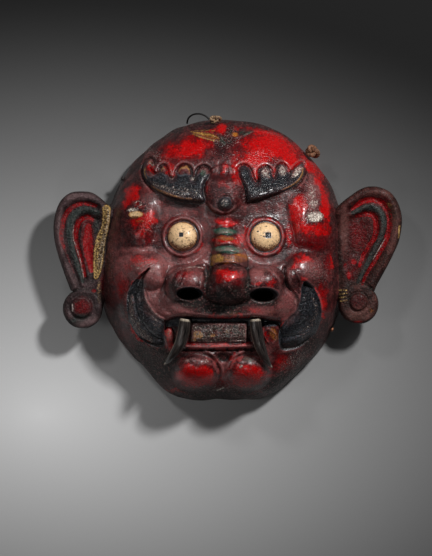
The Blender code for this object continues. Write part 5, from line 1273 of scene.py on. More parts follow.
@dataclass(frozen=True)
class Lacquer:
    """Old lacquer over carved wood: a ground, layers of paint, grime and painted shade in the hollows, worn
    edges and painted sheen.
    """

    name: str
    ground: tuple[Colour, Colour] = ((0.026, 0.006, 0.007), (0.17, 0.032, 0.031))
    rose: Colour = (0.4, 0.165, 0.16)
    # Dark colour of grime and of painted shade.
    shade_and_dirt: Colour = (0.0075, 0.006, 0.0052)
    moss: Colour = (0.105, 0.11, 0.09)
    # How dark the painted shade and grime in the hollows get.
    hollow_shade_and_dirt: float = 0.55
    shine: float = 0.45
    varnish: float = 0.5
    edge_wear: float = 0.4
    fleck: float = 0.55
    rough: tuple[float, float] = (0.22, 0.34)
    coats: tuple[Coat, ...] = (
        Coat(Paint.CRIMSON, (0.135, 0.0022, 0.004), (0.075, 0.003, 0.0045), 0.4, 130.0, 1.2, 260.0, 0.28),
        Coat(Paint.RED, (0.5, 0.001, 0.0018), (0.24, 0.0014, 0.0022), 0.34, 150.0, 1.2, 190.0, 0.27),
        Coat(Paint.ORANGE, (0.46, 0.15, 0.018), (0.24, 0.045, 0.008), 0.2, 160.0, 1.3, 260.0, 0.28),
        Coat(Paint.CREAM, (0.97, 0.65, 0.35), (0.62, 0.29, 0.1), 0.12, 260.0, 0.7, 170.0, 0.34),
        Coat(Paint.UMBER, (0.36, 0.115, 0.022), (0.085, 0.022, 0.007), 0.16, 560.0, 1.9, 620.0, 0.4),
        Coat(Paint.BLACK, (0.01, 0.011, 0.014), (0.064, 0.07, 0.082), 0.12, 220.0, 0.7, 430.0, 0.22),
        Coat(Paint.GREEN, (0.04, 0.13, 0.09), (0.022, 0.04, 0.03), 0.22, 170.0, 1.4, 300.0, 0.32),
        Coat(Paint.GOLD, (0.5, 0.27, 0.065), (0.24, 0.11, 0.025), 0.2, 240.0, 1.3, 420.0, 0.38),
        Coat(Paint.SILVER, (0.86, 0.77, 0.66), (0.13, 0.09, 0.08), 0.09, 460.0, 3.0, 620.0, 0.26))

    def material(self, effects: Effects) -> bpy.types.Material:
        """Builds the material, reading the amounts from the piece's own attributes."""
        mat, s, shader = fresh_material(self.name)
        where = s.spot()
        amount = {paint: s.read(paint.value) for paint in Paint}
        marks = (Paint.RUBBED, Paint.GRIME, Paint.BLISTER, Paint.MATT)
        rubbed, grime, blister, matt = (amount[paint] for paint in marks)
        skin = s.add("ShaderNodeGroup", node_tree=effects.skin)
        s.put(skin, {"Where": where, "Blister": blister, "Wrinkles": matt})
        grain = skin.outputs["Grain"]
        # Painted sheen: the ground is lighter where the rose wear marks lie.
        bias = s.step(rubbed, 0.0, 1.0, -0.07, 0.12)
        colour, _ = effects.tone(s, where, self.ground, 75.0, bias)
        rough: Value = s.step(grain, 0.35, 0.65, *self.rough)
        for coat in self.coats:
            layer = s.add("ShaderNodeGroup", node_tree=effects.layer)
            s.put(layer, {"Where": where, "Base": colour, "Paint": coat.colour, "Thin paint": coat.thin,
                          "Amount": amount[coat.paint], "Feather": coat.feather,
                          "Break size": coat.break_size, "Break depth": coat.break_depth,
                          "Tone size": coat.tone_size})
            colour = layer.outputs["Color"]
            rough = s.blend(layer.outputs["Mask"], rough, coat.rough)
        fine = s.noise(520.0, where, 5.0, 0.7)
        mottle = s.noise(650.0, where, 2.0, 0.6)
        calm = s.times(s.step(amount[Paint.CREAM], 0.0, 1.2, 1.0, 0.3),
                       s.step(amount[Paint.RED], 0.6, 1.3, 1.0, 0.5))
        colour = s.mix(calm, colour, s.step(mottle, 0.32, 0.68, 0.55, 1.5), "MULTIPLY")
        # Rose over the wear marks: worn lacquer, and painted sheen and highlights.
        colour = s.mix(s.times(rubbed, s.step(fine, 0.34, 0.66, 0.16, 0.66)), colour, self.rose)
        unpainted = s.plus(s.times(amount[Paint.BLACK], -0.85), 1.0)
        worn = s.step(s.plus(s.read("edge"), s.swing(fine, 1.6)), 0.16, 0.62)
        colour = s.mix(s.times(worn, unpainted, self.edge_wear), colour, self.rose)
        spots = s.times(s.step(s.noise(340.0, where, 6.0, 0.74), 0.46, 0.36), 0.55)
        # Painted shade and grime in the hollows, joined by the grime marks and random dark spots.
        in_hollows = s.step(s.read("hollow"), 0.15, 1.0, 0.0, self.hollow_shade_and_dirt)
        shade_and_dirt = s.plus(s.times(grime, 0.66), in_hollows, s.swing(fine, 1.5))
        darkening = s.maths("MAXIMUM", s.times(s.step(shade_and_dirt, 0.2, 0.9), 0.94), spots)
        colour = s.mix(darkening, colour, self.shade_and_dirt)
        dots = s.step(s.noise(480.0, where, 2.0, 0.6), 0.54, 0.62)
        place = s.maths("MAXIMUM", s.times(grime, 0.8), s.plus(blister, 0.16))
        dots = s.times(s.maths("MINIMUM", s.times(dots, place), 1.0), s.times(unpainted, self.fleck))
        colour = s.mix(dots, colour, s.mix(s.step(grain, 0.44, 0.56), self.rose, self.moss))
        rough = s.plus(rough, s.times(darkening, 0.16), s.times(rubbed, 0.06), s.times(matt, 0.14))
        clear = s.times(s.step(darkening, 0.9, 0.1), s.step(fine, 0.4, 0.6, 0.05, self.varnish),
                        s.step(matt, 0.0, 1.0, 1.0, 0.05))
        s.put(shader, {"Base Color": colour, "Roughness": rough, "Normal": s.bump(skin.outputs["Height"]),
                       "Coat Weight": clear, "Coat Roughness": 0.17, "Specular IOR Level": self.shine})
        return mat


DULL_COATS: tuple[Coat, ...] = (
    Coat(Paint.CRIMSON, (0.085, 0.004, 0.005), (0.048, 0.004, 0.0045), 0.4, 130.0, 1.2, 260.0, 0.46),
    Coat(Paint.RED, (0.25, 0.002, 0.004), (0.095, 0.0025, 0.004), 0.34, 180.0, 1.4, 230.0, 0.42),
    Coat(Paint.GREEN, (0.036, 0.045, 0.041), (0.017, 0.019, 0.018), 0.36, 170.0, 1.3, 300.0, 0.48),
    Coat(Paint.GOLD, (0.56, 0.36, 0.13), (0.17, 0.085, 0.025), 0.2, 300.0, 1.5, 460.0, 0.42),
    Coat(Paint.CREAM, (0.8, 0.66, 0.46), (0.34, 0.2, 0.09), 0.2, 400.0, 2.0, 500.0, 0.4),
    Coat(Paint.UMBER, (0.16, 0.05, 0.012), (0.02, 0.012, 0.008), 0.14, 520.0, 2.4, 700.0, 0.46),
    Coat(Paint.SILVER, (0.6, 0.5, 0.46), (0.18, 0.12, 0.11), 0.16, 420.0, 2.0, 620.0, 0.38))


@dataclass(frozen=True)
class BareWood:
    """The unpainted inside: dark old wood with gouge marks and soot."""

    name: str
    tones: tuple[Colour, Colour] = ((0.018, 0.01, 0.006), (0.085, 0.045, 0.024))

    def material(self, effects: Effects) -> bpy.types.Material:
        """Builds the material with grain along the height of the mask."""
        mat, s, shader = fresh_material(self.name)
        where = s.spot()
        colour, value = effects.tone(s, s.scaled(where, (1.0, 0.12, 1.0)), self.tones, 260.0)
        gouges = s.cells(70.0, s.scaled(where, (1.0, 0.35, 1.0)), "F1")
        height = s.plus(s.times(gouges, 2.0), s.times(value, 0.3))
        s.put(shader, {"Base Color": colour, "Normal": s.bump(height, 0.6, 0.0016),
                       "Roughness": s.step(value, 0.0, 1.0, 0.85, 0.65)})
        return mat


@dataclass(frozen=True)
class Horn:
    """Polished dark horn with streaks along its length, paler ends that also paint their highlights, and a
    painted highlight down one side.
    """

    name: str
    tones: tuple[Colour, Colour] = ((0.006, 0.0055, 0.0055), (0.07, 0.055, 0.05))
    pale_and_highlight: Colour = (0.62, 0.52, 0.4)

    def material(self, effects: Effects) -> bpy.types.Material:
        """Builds the material on the bar's own round-and-along coordinates."""
        mat, s, shader = fresh_material(self.name)
        share, across = s.read("share"), s.read("across")
        axes = {0: across, 1: s.read("upward"), 2: s.times(share, 0.5)}
        way = s.add("ShaderNodeCombineXYZ", axes).outputs[0]
        colour, value = effects.tone(s, way, self.tones, 2.6)
        # Paler ends: worn horn, and painted highlights on the cut top and the tip.
        ends = s.maths("MAXIMUM", s.step(share, 0.82, 0.96, 0.0, 1.2), s.step(share, 0.045, 0.02))
        # Painted highlight: a pale streak down one side.
        side = s.times(s.step(across, 0.86, 1.0), s.step(share, 0.05, 0.75, 0.35, 1.0))
        worn = s.times(s.maths("MAXIMUM", ends, side), s.step(value, 0.0, 0.6, 0.3, 1.0))
        lines = s.noise(13.0, way)
        s.put(shader, {"Base Color": s.mix(worn, colour, self.pale_and_highlight), "Normal": s.bump(lines, 0.45, 0.0006),
                       "Roughness": s.step(lines, 0.3, 0.7, 0.08, 0.24)})
        return mat


@dataclass(frozen=True)
class Fibre:
    """Twisted plant-fibre cord: a cloudy tone with fine hairs."""

    name: str
    tones: tuple[Colour, Colour]

    def material(self, effects: Effects) -> bpy.types.Material:
        """Builds the material."""
        mat, s, shader = fresh_material(self.name)
        where = s.spot()
        colour, _ = effects.tone(s, where, self.tones, 420.0)
        hair = s.noise(2600.0, where, 2.0, 0.5)
        s.put(shader, {"Base Color": colour, "Roughness": s.step(hair, 0.3, 0.7, 0.6, 0.85),
                       "Normal": s.bump(hair, 0.5, 0.0004)})
        return mat


@dataclass(frozen=True)
class OldMetal:
    """Iron or copper with dark spots of corrosion on a dull metal."""

    name: str
    tones: tuple[Colour, Colour]
    metal: float
    rough: float

    def material(self, effects: Effects) -> bpy.types.Material:
        """Builds the material."""
        mat, s, shader = fresh_material(self.name)
        colour, value = effects.tone(s, s.spot(), self.tones, 500.0)
        s.put(shader, {"Base Color": colour, "Metallic": s.step(value, 0.0, 1.0, 0.1, self.metal),
                       "Roughness": s.step(value, 0.0, 1.0, self.rough + 0.3, self.rough),
                       "Normal": s.bump(value, 0.5, 0.0003)})
        return mat


# ---------------------------------------- the pieces
EDGE_MOST = 0.6
HOLLOW_MOST = 3.0
EDGE_POWER = 2.4


def lay_paint(obj: bpy.types.Object, amounts: dict[Paint, Array]) -> None:
    """Writes the amount of every paint on a piece's vertices."""
    for paint in Paint:
        mark(obj, paint.value, amounts.get(paint, np.zeros(len(obj.data.vertices))))


def hand_over(obj: bpy.types.Object, node: str) -> bpy.types.Object:
    """Lets a piece stand for its CAD node, on the mask's one body."""
    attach(obj, "root")
    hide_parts(node)
    log.info("%s: %d faces, stands for %s", obj.name, len(obj.data.polygons), node)
    return obj


@dataclass(frozen=True)
class FaceShell:
    """The hollow face: carved front, plain rim and gouged inside, with the nostrils cut through."""

    lining: BareWood
    node: str = "face_shell"
    front_count: int = 301
    inner_count: int = 76
    carving: Carving = Carving()
    paint: FacePaint = FacePaint()

    def front(self) -> Array:
        """Grid of the carved front: the dome and its carving, fading towards the rim, slightly uneven."""
        x, y, z, share = dome(self.front_count, CROWN_Z)
        uneven = 0.3 * ripple(x, y, 24.0, 3) + 0.1 * ripple(x, y, 8.0, 5)
        calm = sum(ramp(1.25, 1.05, eye.share(x, y)) for eye in self.carving.eyes)
        height = z + (self.carving.height(x, y) + uneven * (1 - 0.8 * calm)) * ramp(0.985, 0.9, share)
        side = 0.7 * ripple(x + z, y - z, 40.0, 11) * ramp(0.9, 0.97, share)
        angle, far = polar(x, y)
        return np.stack([x + side * np.cos(angle), y + side * np.sin(angle), np.maximum(height, 0.0)], -1)

    def hollow(self) -> Array:
        """Grid of the inside: a smaller dome, dipped under sockets and mouth and raised into the nose."""
        x, y, z, share = dome(self.inner_count, CROWN_Z - WALL, WALL)
        dip = 9.0 * sum(ramp(1.3, 0.6, oval(x, y, at, (47.3, 42.8))) for at in ((-54.1, 30.2), (45.1, 30.2)))
        dip = dip + 14.0 * ramp(1.35, 0.75, oval(x, y, (-5.6, -87), (76.6, 29.3)))
        rise = 18.0 * ramp(1.1, 0.3, oval(x, y, (0, -23.9), (29.3, 27)))
        rise = rise + 5.0 * ramp(1.1, 0.5, oval(x, y, (-2.2, -32.9), (63.1, 22.5)))
        z = z + (rise - dip + 0.4 * ripple(x, y, 14.0, 8)) * ramp(0.95, 0.7, share)
        return np.stack([x, y, np.maximum(z, 0.0)], -1)

    def rim_faces(self, start: int) -> list[tuple[int, ...]]:
        """Fans of triangles that join the outer border to the inner one in the rim's plane."""
        big, small = border(self.front_count), border(self.inner_count, start)
        step = (self.front_count - 1) // (self.inner_count - 1)
        half = step // 2
        faces = []
        for k, near in enumerate(small):
            far = small[(k + 1) % len(small)]
            run = np.take(big, range(k * step, k * step + step + 1), mode="wrap")
            faces += [(run[j], run[j + 1], near) for j in range(half)]
            faces.append((run[half], far, near))
            faces += [(run[j], run[j + 1], far) for j in range(half, step)]
        return faces

    def nostril_cutter(self, at: Point, radii: Point, inside: bpy.types.Material) -> bpy.types.Object:
        """An upright oval bar through the shell."""
        n, reaches = 48, (40.0, 170.0)
        ring = np.array(at) + 0.8 * np.array(radii) * ring_of(n)[1]
        points = np.vstack([np.column_stack([ring, np.full(n, z)]) for z in reaches])
        ends = [tuple(range(n - 1, -1, -1)), tuple(range(n, 2 * n))]
        return solid("nostril_cut", points, [*quads(2, n, loop=True), *ends], (inside, inside))

    def build(self, finish: Lacquer, effects: Effects) -> bpy.types.Object:
        """Makes the shell, cuts the nostrils and lays the paint."""
        front, inside = self.front(), self.hollow()
        points = np.vstack([front.reshape(-1, 3), inside.reshape(-1, 3)])
        skin = quads(self.front_count, self.front_count)
        back = quads(self.inner_count, self.inner_count, front.shape[0] ** 2, True)
        rim = self.rim_faces(front.shape[0] ** 2)
        mats = (finish.material(effects), self.lining.material(effects))
        obj = solid("carved_face", points, [*skin, *back, *rim], mats)
        index = np.zeros(len(obj.data.polygons), np.int32)
        index[len(skin):] = 1
        obj.data.polygons.foreach_set("material_index", index)
        quiet = np.zeros(len(inside.reshape(-1, 3)))
        mark(obj, "edge", np.concatenate([np.clip(proud(front, 5), 0, EDGE_MOST).ravel(), quiet]))
        mark(obj, "hollow", np.concatenate([np.clip(-proud(front, 8), 0, HOLLOW_MOST).ravel(), quiet]))
        for at, radii in self.carving.nostrils:
            tool = self.nostril_cutter(at, radii, obj.data.materials[1])
            cut = obj.modifiers.new("nostril", "BOOLEAN")
            cut.operation, cut.solver, cut.object = "DIFFERENCE", "EXACT", tool
            bpy.context.view_layer.update()
            mesh = bpy.data.meshes.new_from_object(obj.evaluated_get(bpy.context.evaluated_depsgraph_get()))
            obj.modifiers.clear()
            obj.data = mesh
            bpy.data.objects.remove(tool)
        obj.data.name = obj.name
        obj.data.set_sharp_from_angle(angle=math.radians(75))
        where = places(obj)
        lay_paint(obj, self.paint.amounts(self.carving, where[:, 0], where[:, 1]))
        return hand_over(obj, self.node)


@dataclass(frozen=True)
class Fold:
    """One ridge (high above 0) or groove of an ear along a line."""

    points: Run
    high: float
    half: float


@dataclass(frozen=True)
class Ear:
    """A flat carved ear with nested folds, a round lobe with a boss, and a root set against the side wall."""

    node: str
    name: str
    edge: Run
    root: Run
    lobe: tuple[float, float, float]
    boss: tuple[float, float, float]
    folds: tuple[Fold, ...]
    paint: tuple[tuple[Paint, Touches], ...]
    top_z: float = 46.0
    deep: float = 17.0
    rows: int = 230
    columns: int = 120
    back_columns: int = 36

    @property
    def out(self) -> float:
        """+1 for the ear on the right, -1 for the one on the left."""
        return 1.0 if self.lobe[0] > 0 else -1.0

    @property
    def span(self) -> tuple[float, float]:
        """Lowest and highest y of the ear."""
        return self.lobe[1] - self.lobe[2], float(curve(self.edge, 160)[:, 1].max())

    def sides(self, y: Array) -> tuple[Array, Array]:
        """Outermost and rootward x times out at heights y: the edge above the notch, the lobe disc below."""
        line = curve(self.edge, 400)
        over, notch = line[:, 0] * self.out, line[-1, 1]
        far, near = np.full(np.shape(y), -1e9), np.full(np.shape(y), 1e9)
        for k in range(len(line) - 1):
            low, high = sorted((line[k, 1], line[k + 1, 1]))
            hit = (y >= low) & (y <= high)
            t = np.clip((y - line[k, 1]) / (line[k + 1, 1] - line[k, 1] + 1e-9), 0, 1)
            v = over[k] + (over[k + 1] - over[k]) * t
            far, near = np.where(hit, np.maximum(far, v), far), np.where(hit, np.minimum(near, v), near)
        inner = curve(self.root, 200)
        order = np.argsort(inner[:, 1])
        root = np.interp(y, inner[order, 1], inner[order, 0] * self.out)
        near = np.where(y < inner[:, 1].max(), np.minimum(near, root), near)
        half = np.sqrt(np.clip(self.lobe[2] ** 2 - (y - self.lobe[1]) ** 2, 0, None))
        disc = self.lobe[0] * self.out + half
        far = np.where(y < notch, disc, far)
        far = np.where((y < notch + 1.0) & (y >= notch), np.maximum(far, disc), far)
        return far, np.where(y < inner[:, 1].min(), self.lobe[0] * self.out - half, near)

    def relief(self, x: Array, y: Array) -> Array:
        """Height of the folds over the ear's plain face."""
        d = along(x, y, self.edge, 60, 45.0)[0]
        h = 3.5 * bell(d - 6.0, 5.0) - 2.5 * ramp(10.0, 30.0, d)
        for fold in self.folds:
            h = h + fold.high * bell(along(x, y, fold.points, 50, 20.0)[0], fold.half)
        h = h + 2.5 * bell(along(x, y, self.root, 30, 30.0)[0] - 12.0, 5.0)
        r = np.hypot(x - self.lobe[0], y - self.lobe[1]) / self.lobe[2]
        h = h + (1.6 + 0.8 * cap(r, 1.0) - h) * ramp(1.12, 0.95, r) - 0.9 * bell(r - 1.02, 0.07)
        b = np.hypot(x - self.boss[0], y - self.boss[1]) / self.boss[2]
        h = h + 2.4 * ramp(1.05, 0.82, b) + 0.9 * cap(b, 1.0) - 0.9 * bell(b - 1.15, 0.12)
        return h + 0.22 * ripple(x, y, 11.0, 21) + 0.12 * ripple(x, y, 5.0, 23)

    def surface(self) -> tuple[Array, Array, Array]:
        """Closed sections down the ear: a folded face and a plain back that swell from a rounded edge."""
        foot, top = self.span
        v = np.linspace(0.0, 1.0, self.rows + 2)[1:-1]
        y = foot + 0.3 + (top - foot - 0.6) * (1 + np.cos(math.pi * v * 0.94 + math.pi * 0.03)) / 2
        far, near = self.sides(y)
        mid, half = (far + near) / 2, (far - near) / 2
        u = 0.45 * -np.cos(np.linspace(0.0, math.pi, self.columns)) + 0.55 * np.linspace(-1, 1, self.columns)
        w = -np.cos(np.linspace(0.0, math.pi, self.back_columns))[1:-1][::-1]
        x_front, x_back = mid[:, None] + half[:, None] * u, mid[:, None] + half[:, None] * w
        ends = np.clip(np.minimum(top - y, y - foot) / 7.0, 0, 1)
        ends = (1 - (1 - ends) ** EDGE_POWER) ** (1 / EDGE_POWER)

        def thick(share: Array) -> Array:
            """Half the thickness at a share of the half width: a round edge 7 mm wide."""
            rise = np.clip((1 - np.abs(share)) * half[:, None] / 7.0, 0, 1)
            return self.deep / 2 * (1 - (1 - rise) ** EDGE_POWER) ** (1 / EDGE_POWER) * ends[:, None]

        yy = np.broadcast_to(y[:, None], x_front.shape)
        t = thick(u)
        middle = self.top_z - self.deep / 2
        z_front = middle + t + (self.relief(x_front * self.out, yy) - 3.0) * t / (self.deep / 2)
        xs = np.concatenate([x_front, x_back], 1) * self.out
        ys = np.concatenate([yy, np.broadcast_to(y[:, None], x_back.shape)], 1)
        return xs, ys, np.concatenate([z_front, middle - thick(w)], 1)

    def seated(self, points: Array) -> Array:
        """Pushes what lies inside the head out to 2 mm under the side wall, away from the head's middle."""
        angle, far = polar(points[:, 0], points[:, 1])
        least = wall_radius(angle, points[:, 2]) - 2.0
        grow = np.maximum(far, least) / far
        centre = np.array(CENTRE)
        return np.column_stack([centre + (points[:, :2] - centre) * grow[:, None], points[:, 2]])

    def amounts(self, x: Array, y: Array, front: Array) -> dict[Paint, Array]:
        """Amount of each paint: what the strokes give on the face of the ear, painted shade along its outer
        edge and round its lobe, and grime on its back.
        """
        found = {paint: laid(touches, x, y) * front for paint, touches in self.paint}
        # Painted shade along the outer edge and round the lobe's rim.
        rim = ramp(3.6, 0.8, along(x, y, self.edge, 60, 12.0)[0])
        r = np.hypot(x - self.lobe[0], y - self.lobe[1]) / self.lobe[2]
        rim = np.maximum(rim, ramp(0.86, 0.97, r) * ramp(1.2, 1.0, r))
        found[Paint.GRIME] = np.maximum(found[Paint.GRIME], np.maximum(0.85 * rim, 1.0 - front))
        return found

    def build(self, finish: Lacquer, effects: Effects) -> bpy.types.Object:
        """Makes the ear and lays its paint."""
        x, y, z = self.surface()
        grid = np.stack([x, y, z], -1)
        ring = grid.shape[1]
        caps = grid[[0, -1]].mean(1) + [(0, 0.3, 0), (0, -0.3, 0)]
        points = np.vstack([grid.reshape(-1, 3), caps])
        obj = solid(self.name, self.seated(points), tube(self.rows, ring), (finish.material(effects),))
        face = grid[:, :self.columns] * (self.out, 1, 1)
        back = ((0, 0), (0, ring - self.columns))
        edge, hollow = np.clip(proud(face, 5), 0, EDGE_MOST), np.clip(-proud(face, 24), 0, HOLLOW_MOST)
        mark(obj, "edge", np.append(np.pad(edge, back).ravel(), (0, 0)))
        mark(obj, "hollow", np.append(np.pad(hollow, back).ravel(), (0, 0)))
        front = np.append(np.pad(np.ones((self.rows, self.columns)), back).ravel(), (1, 1))
        lay_paint(obj, self.amounts(points[:, 0], points[:, 1], front))
        return hand_over(obj, self.node)


def left_ear() -> Ear:
    """The ear on the viewer's left, with a long strip of bare gold ground along its root."""
    outer = ((-148.8, 57.5), (-160.3, 61.5), (-169.5, 62.1), (-178.7, 58.1), (-185.5, 49.5), (-188.4, 36.9),
        (-189, 22), (-186.1, 8.2), (-181.5, -5.5), (-175.8, -19.3), (-170.6, -31.9))
    ridge = ((-147.7, 50.6), (-158, 54.7), (-167.2, 53.5), (-174.1, 47.2), (-178.1, 36.9), (-179.2, 24.3),
        (-177.5, 10.5), (-172.9, -4.4), (-168.9, -18.2), (-166, -31.9))
    inner = ((-150, 42.6), (-158, 46.1), (-164.9, 45.5), (-170.6, 40.3), (-173.5, 31.2), (-174.1, 19.7),
        (-171.2, 7.1), (-167.8, -5.5), (-164.9, -18.2), (-163.2, -27.3))
    strip = ((-138.6, 55.2, 4.6), (-139, 47.2, 4.4), (-139.7, 40.3, 4.2), (-141.3, 31.2, 4.4),
        (-144.7, 23.1, 5.4), (-147, 10.5, 6.0), (-148.4, -3.3, 5.6), (-149.5, -14.7, 4.6),
        (-150.9, -22.8, 2.6))
    # The grime marks also paint shade along the outer edge and the root; the rose wear marks also paint sheen
    # on the outer rim, the top and the lobe's lower side.
    paint = ((Paint.CRIMSON, (Stroke(((-160.3, 38, 7.0), (-160.8, 12.8, 7.5), (-157.3, -12.4, 4.5)), 0.95),
        *dabs((-166, -56.7, 11, 11, 1.1), (-142, -30.8, 4.6, 18.4, 0.8)))), (Paint.RED,
        (Stroke(((-151.1, 58.9, 2.0), (-164.9, 61.7, 2.6), (-177.5, 57.5, 2.8), (-186.2, 47.7, 2.9),
        (-189.4, 35.7, 2.8), (-190.6, 22, 2.4), (-187.4, 10.5, 1.8)), 0.84),
        Stroke(((-187.4, 10.5, 1.8), (-183.8, 1.3, 1.4), (-175.8, -18.2, 1.0)), 0.5),
        Stroke(((-152.7, 42.3, 2.4), (-161.5, 45.8, 3.2), (-169.5, 41.5, 3.4), (-173.8, 31.6, 3.3),
        (-174.3, 20.8, 3.2), (-171.4, 8.2, 3.0), (-167, -5.5, 2.8), (-163.4, -21.6, 1.8)), 0.9),
        Stroke(((-159.8, 35.7, 3.0), (-160.3, 19.7, 5.0), (-159.7, 5.9, 4.8), (-157.6, -5.5, 3.4),
        (-156.2, -15.9, 2.2)), 1.5), *dabs((-153.4, -38.8, 2.8, 2.5, 1.1), (-166.6, -57.2, 9.2, 9.2, 0.6)))),
        (Paint.GREEN, (Stroke(((-149.2, 50.6, 3.0), (-163.4, 54.3, 3.6), (-174.1, 50.1, 3.8),
        (-180.3, 38.7, 3.6), (-181.2, 24.3, 3.4), (-177.6, 8.2, 3.2), (-171.4, -11.3, 2.8),
        (-166, -28.5, 1.6)), 0.95), *dabs((-169.5, -70.9, 16.1, 6.9, 0.7, 20),
        (-151.1, 36.9, 4.6, 10.3, 0.7)))), (Paint.GOLD, (Stroke(strip, 1.0),)), (Paint.UMBER,
        (Stroke(tuple((x, y, 0.75 * half) for x, y, half in strip), 0.52),)), (Paint.CREAM,
        (Stroke(((-136.7, 51.8, 1.4), (-136.9, 42.6, 1.5), (-139.2, 31.2, 1.8), (-142.2, 22, 2.2),
        (-144.2, 11.7, 2.6), (-146.1, -1, 2.8), (-147, -12.4, 2.2)), 0.72),
        *dabs((-147.1, -37.7, 3.4, 17.2, 0.42)))), (Paint.SILVER, (Stroke(((-176.4, 36.9, 0.7),
        (-177.3, 23.1, 0.8), (-173.4, 10.5, 0.8), (-168.7, -5.5, 0.7), (-165.1, -25, 0.6)), 0.66),
        Stroke(((-177.9, -53.7, 0.9), (-177.6, -61.7, 1.0)), 0.95))), (Paint.RUBBED,
        dabs((-193.6, 19.7, 5.7, 45.9, 0.8), (-160.3, -75.5, 16.1, 5.7, 0.9, 12),
        (-169.5, 69, 20.6, 4.6, 0.7), (-180.9, -20.5, 5.7, 18.4, 0.6, 20))), (Paint.GRIME,
        dabs((-200, 19.7, 2.9, 57.3, 0.7), (-132.8, 8.2, 5.7, 50.5, 0.6))), (Paint.BLISTER,
        dabs((-145.4, 19.7, 9.2, 43.6, 0.9, 12), (-169.5, 2.5, 29.8, 80.3, 0.3))))
    return Ear("ear_left", "left_ear", ((-130.5, 55.2), (-133.9, 57.5), (-142, 64.4), (-150, 70.9),
        (-158, 74.7), (-169.5, 75.9), (-180.9, 73.6), (-190.1, 66.7), (-195.9, 56.4), (-199.3, 42.6),
        (-199.9, 31.2), (-198.2, 16.2), (-193.6, -1), (-189, -14.7), (-184.4, -27.3), (-179.8, -38.8)),
        ((-130.5, 55.2), (-127, 40.3), (-125.9, 19.7), (-127, -1), (-130.5, -20.5), (-137.4, -37.7),
        (-142, -52.6), (-143.7, -60.6)), (-166.4, -59.1, 22.8), (-167.2, -57.2, 12.4),
        (Fold(outer, -2.7, 2.8), Fold(ridge, 2.0, 3.2), Fold(inner, -3.1, 2.8), Fold(((-164.9, 35.7),
        (-167.8, 22), (-166, 7.1), (-162.6, -7.8), (-160.3, -20.5)), 1.0, 2.4),
        Fold(((-159.2, 38), (-160.3, 19.7), (-158.6, 2.5), (-155.7, -12.4)), -2.2, 4.0)), paint)


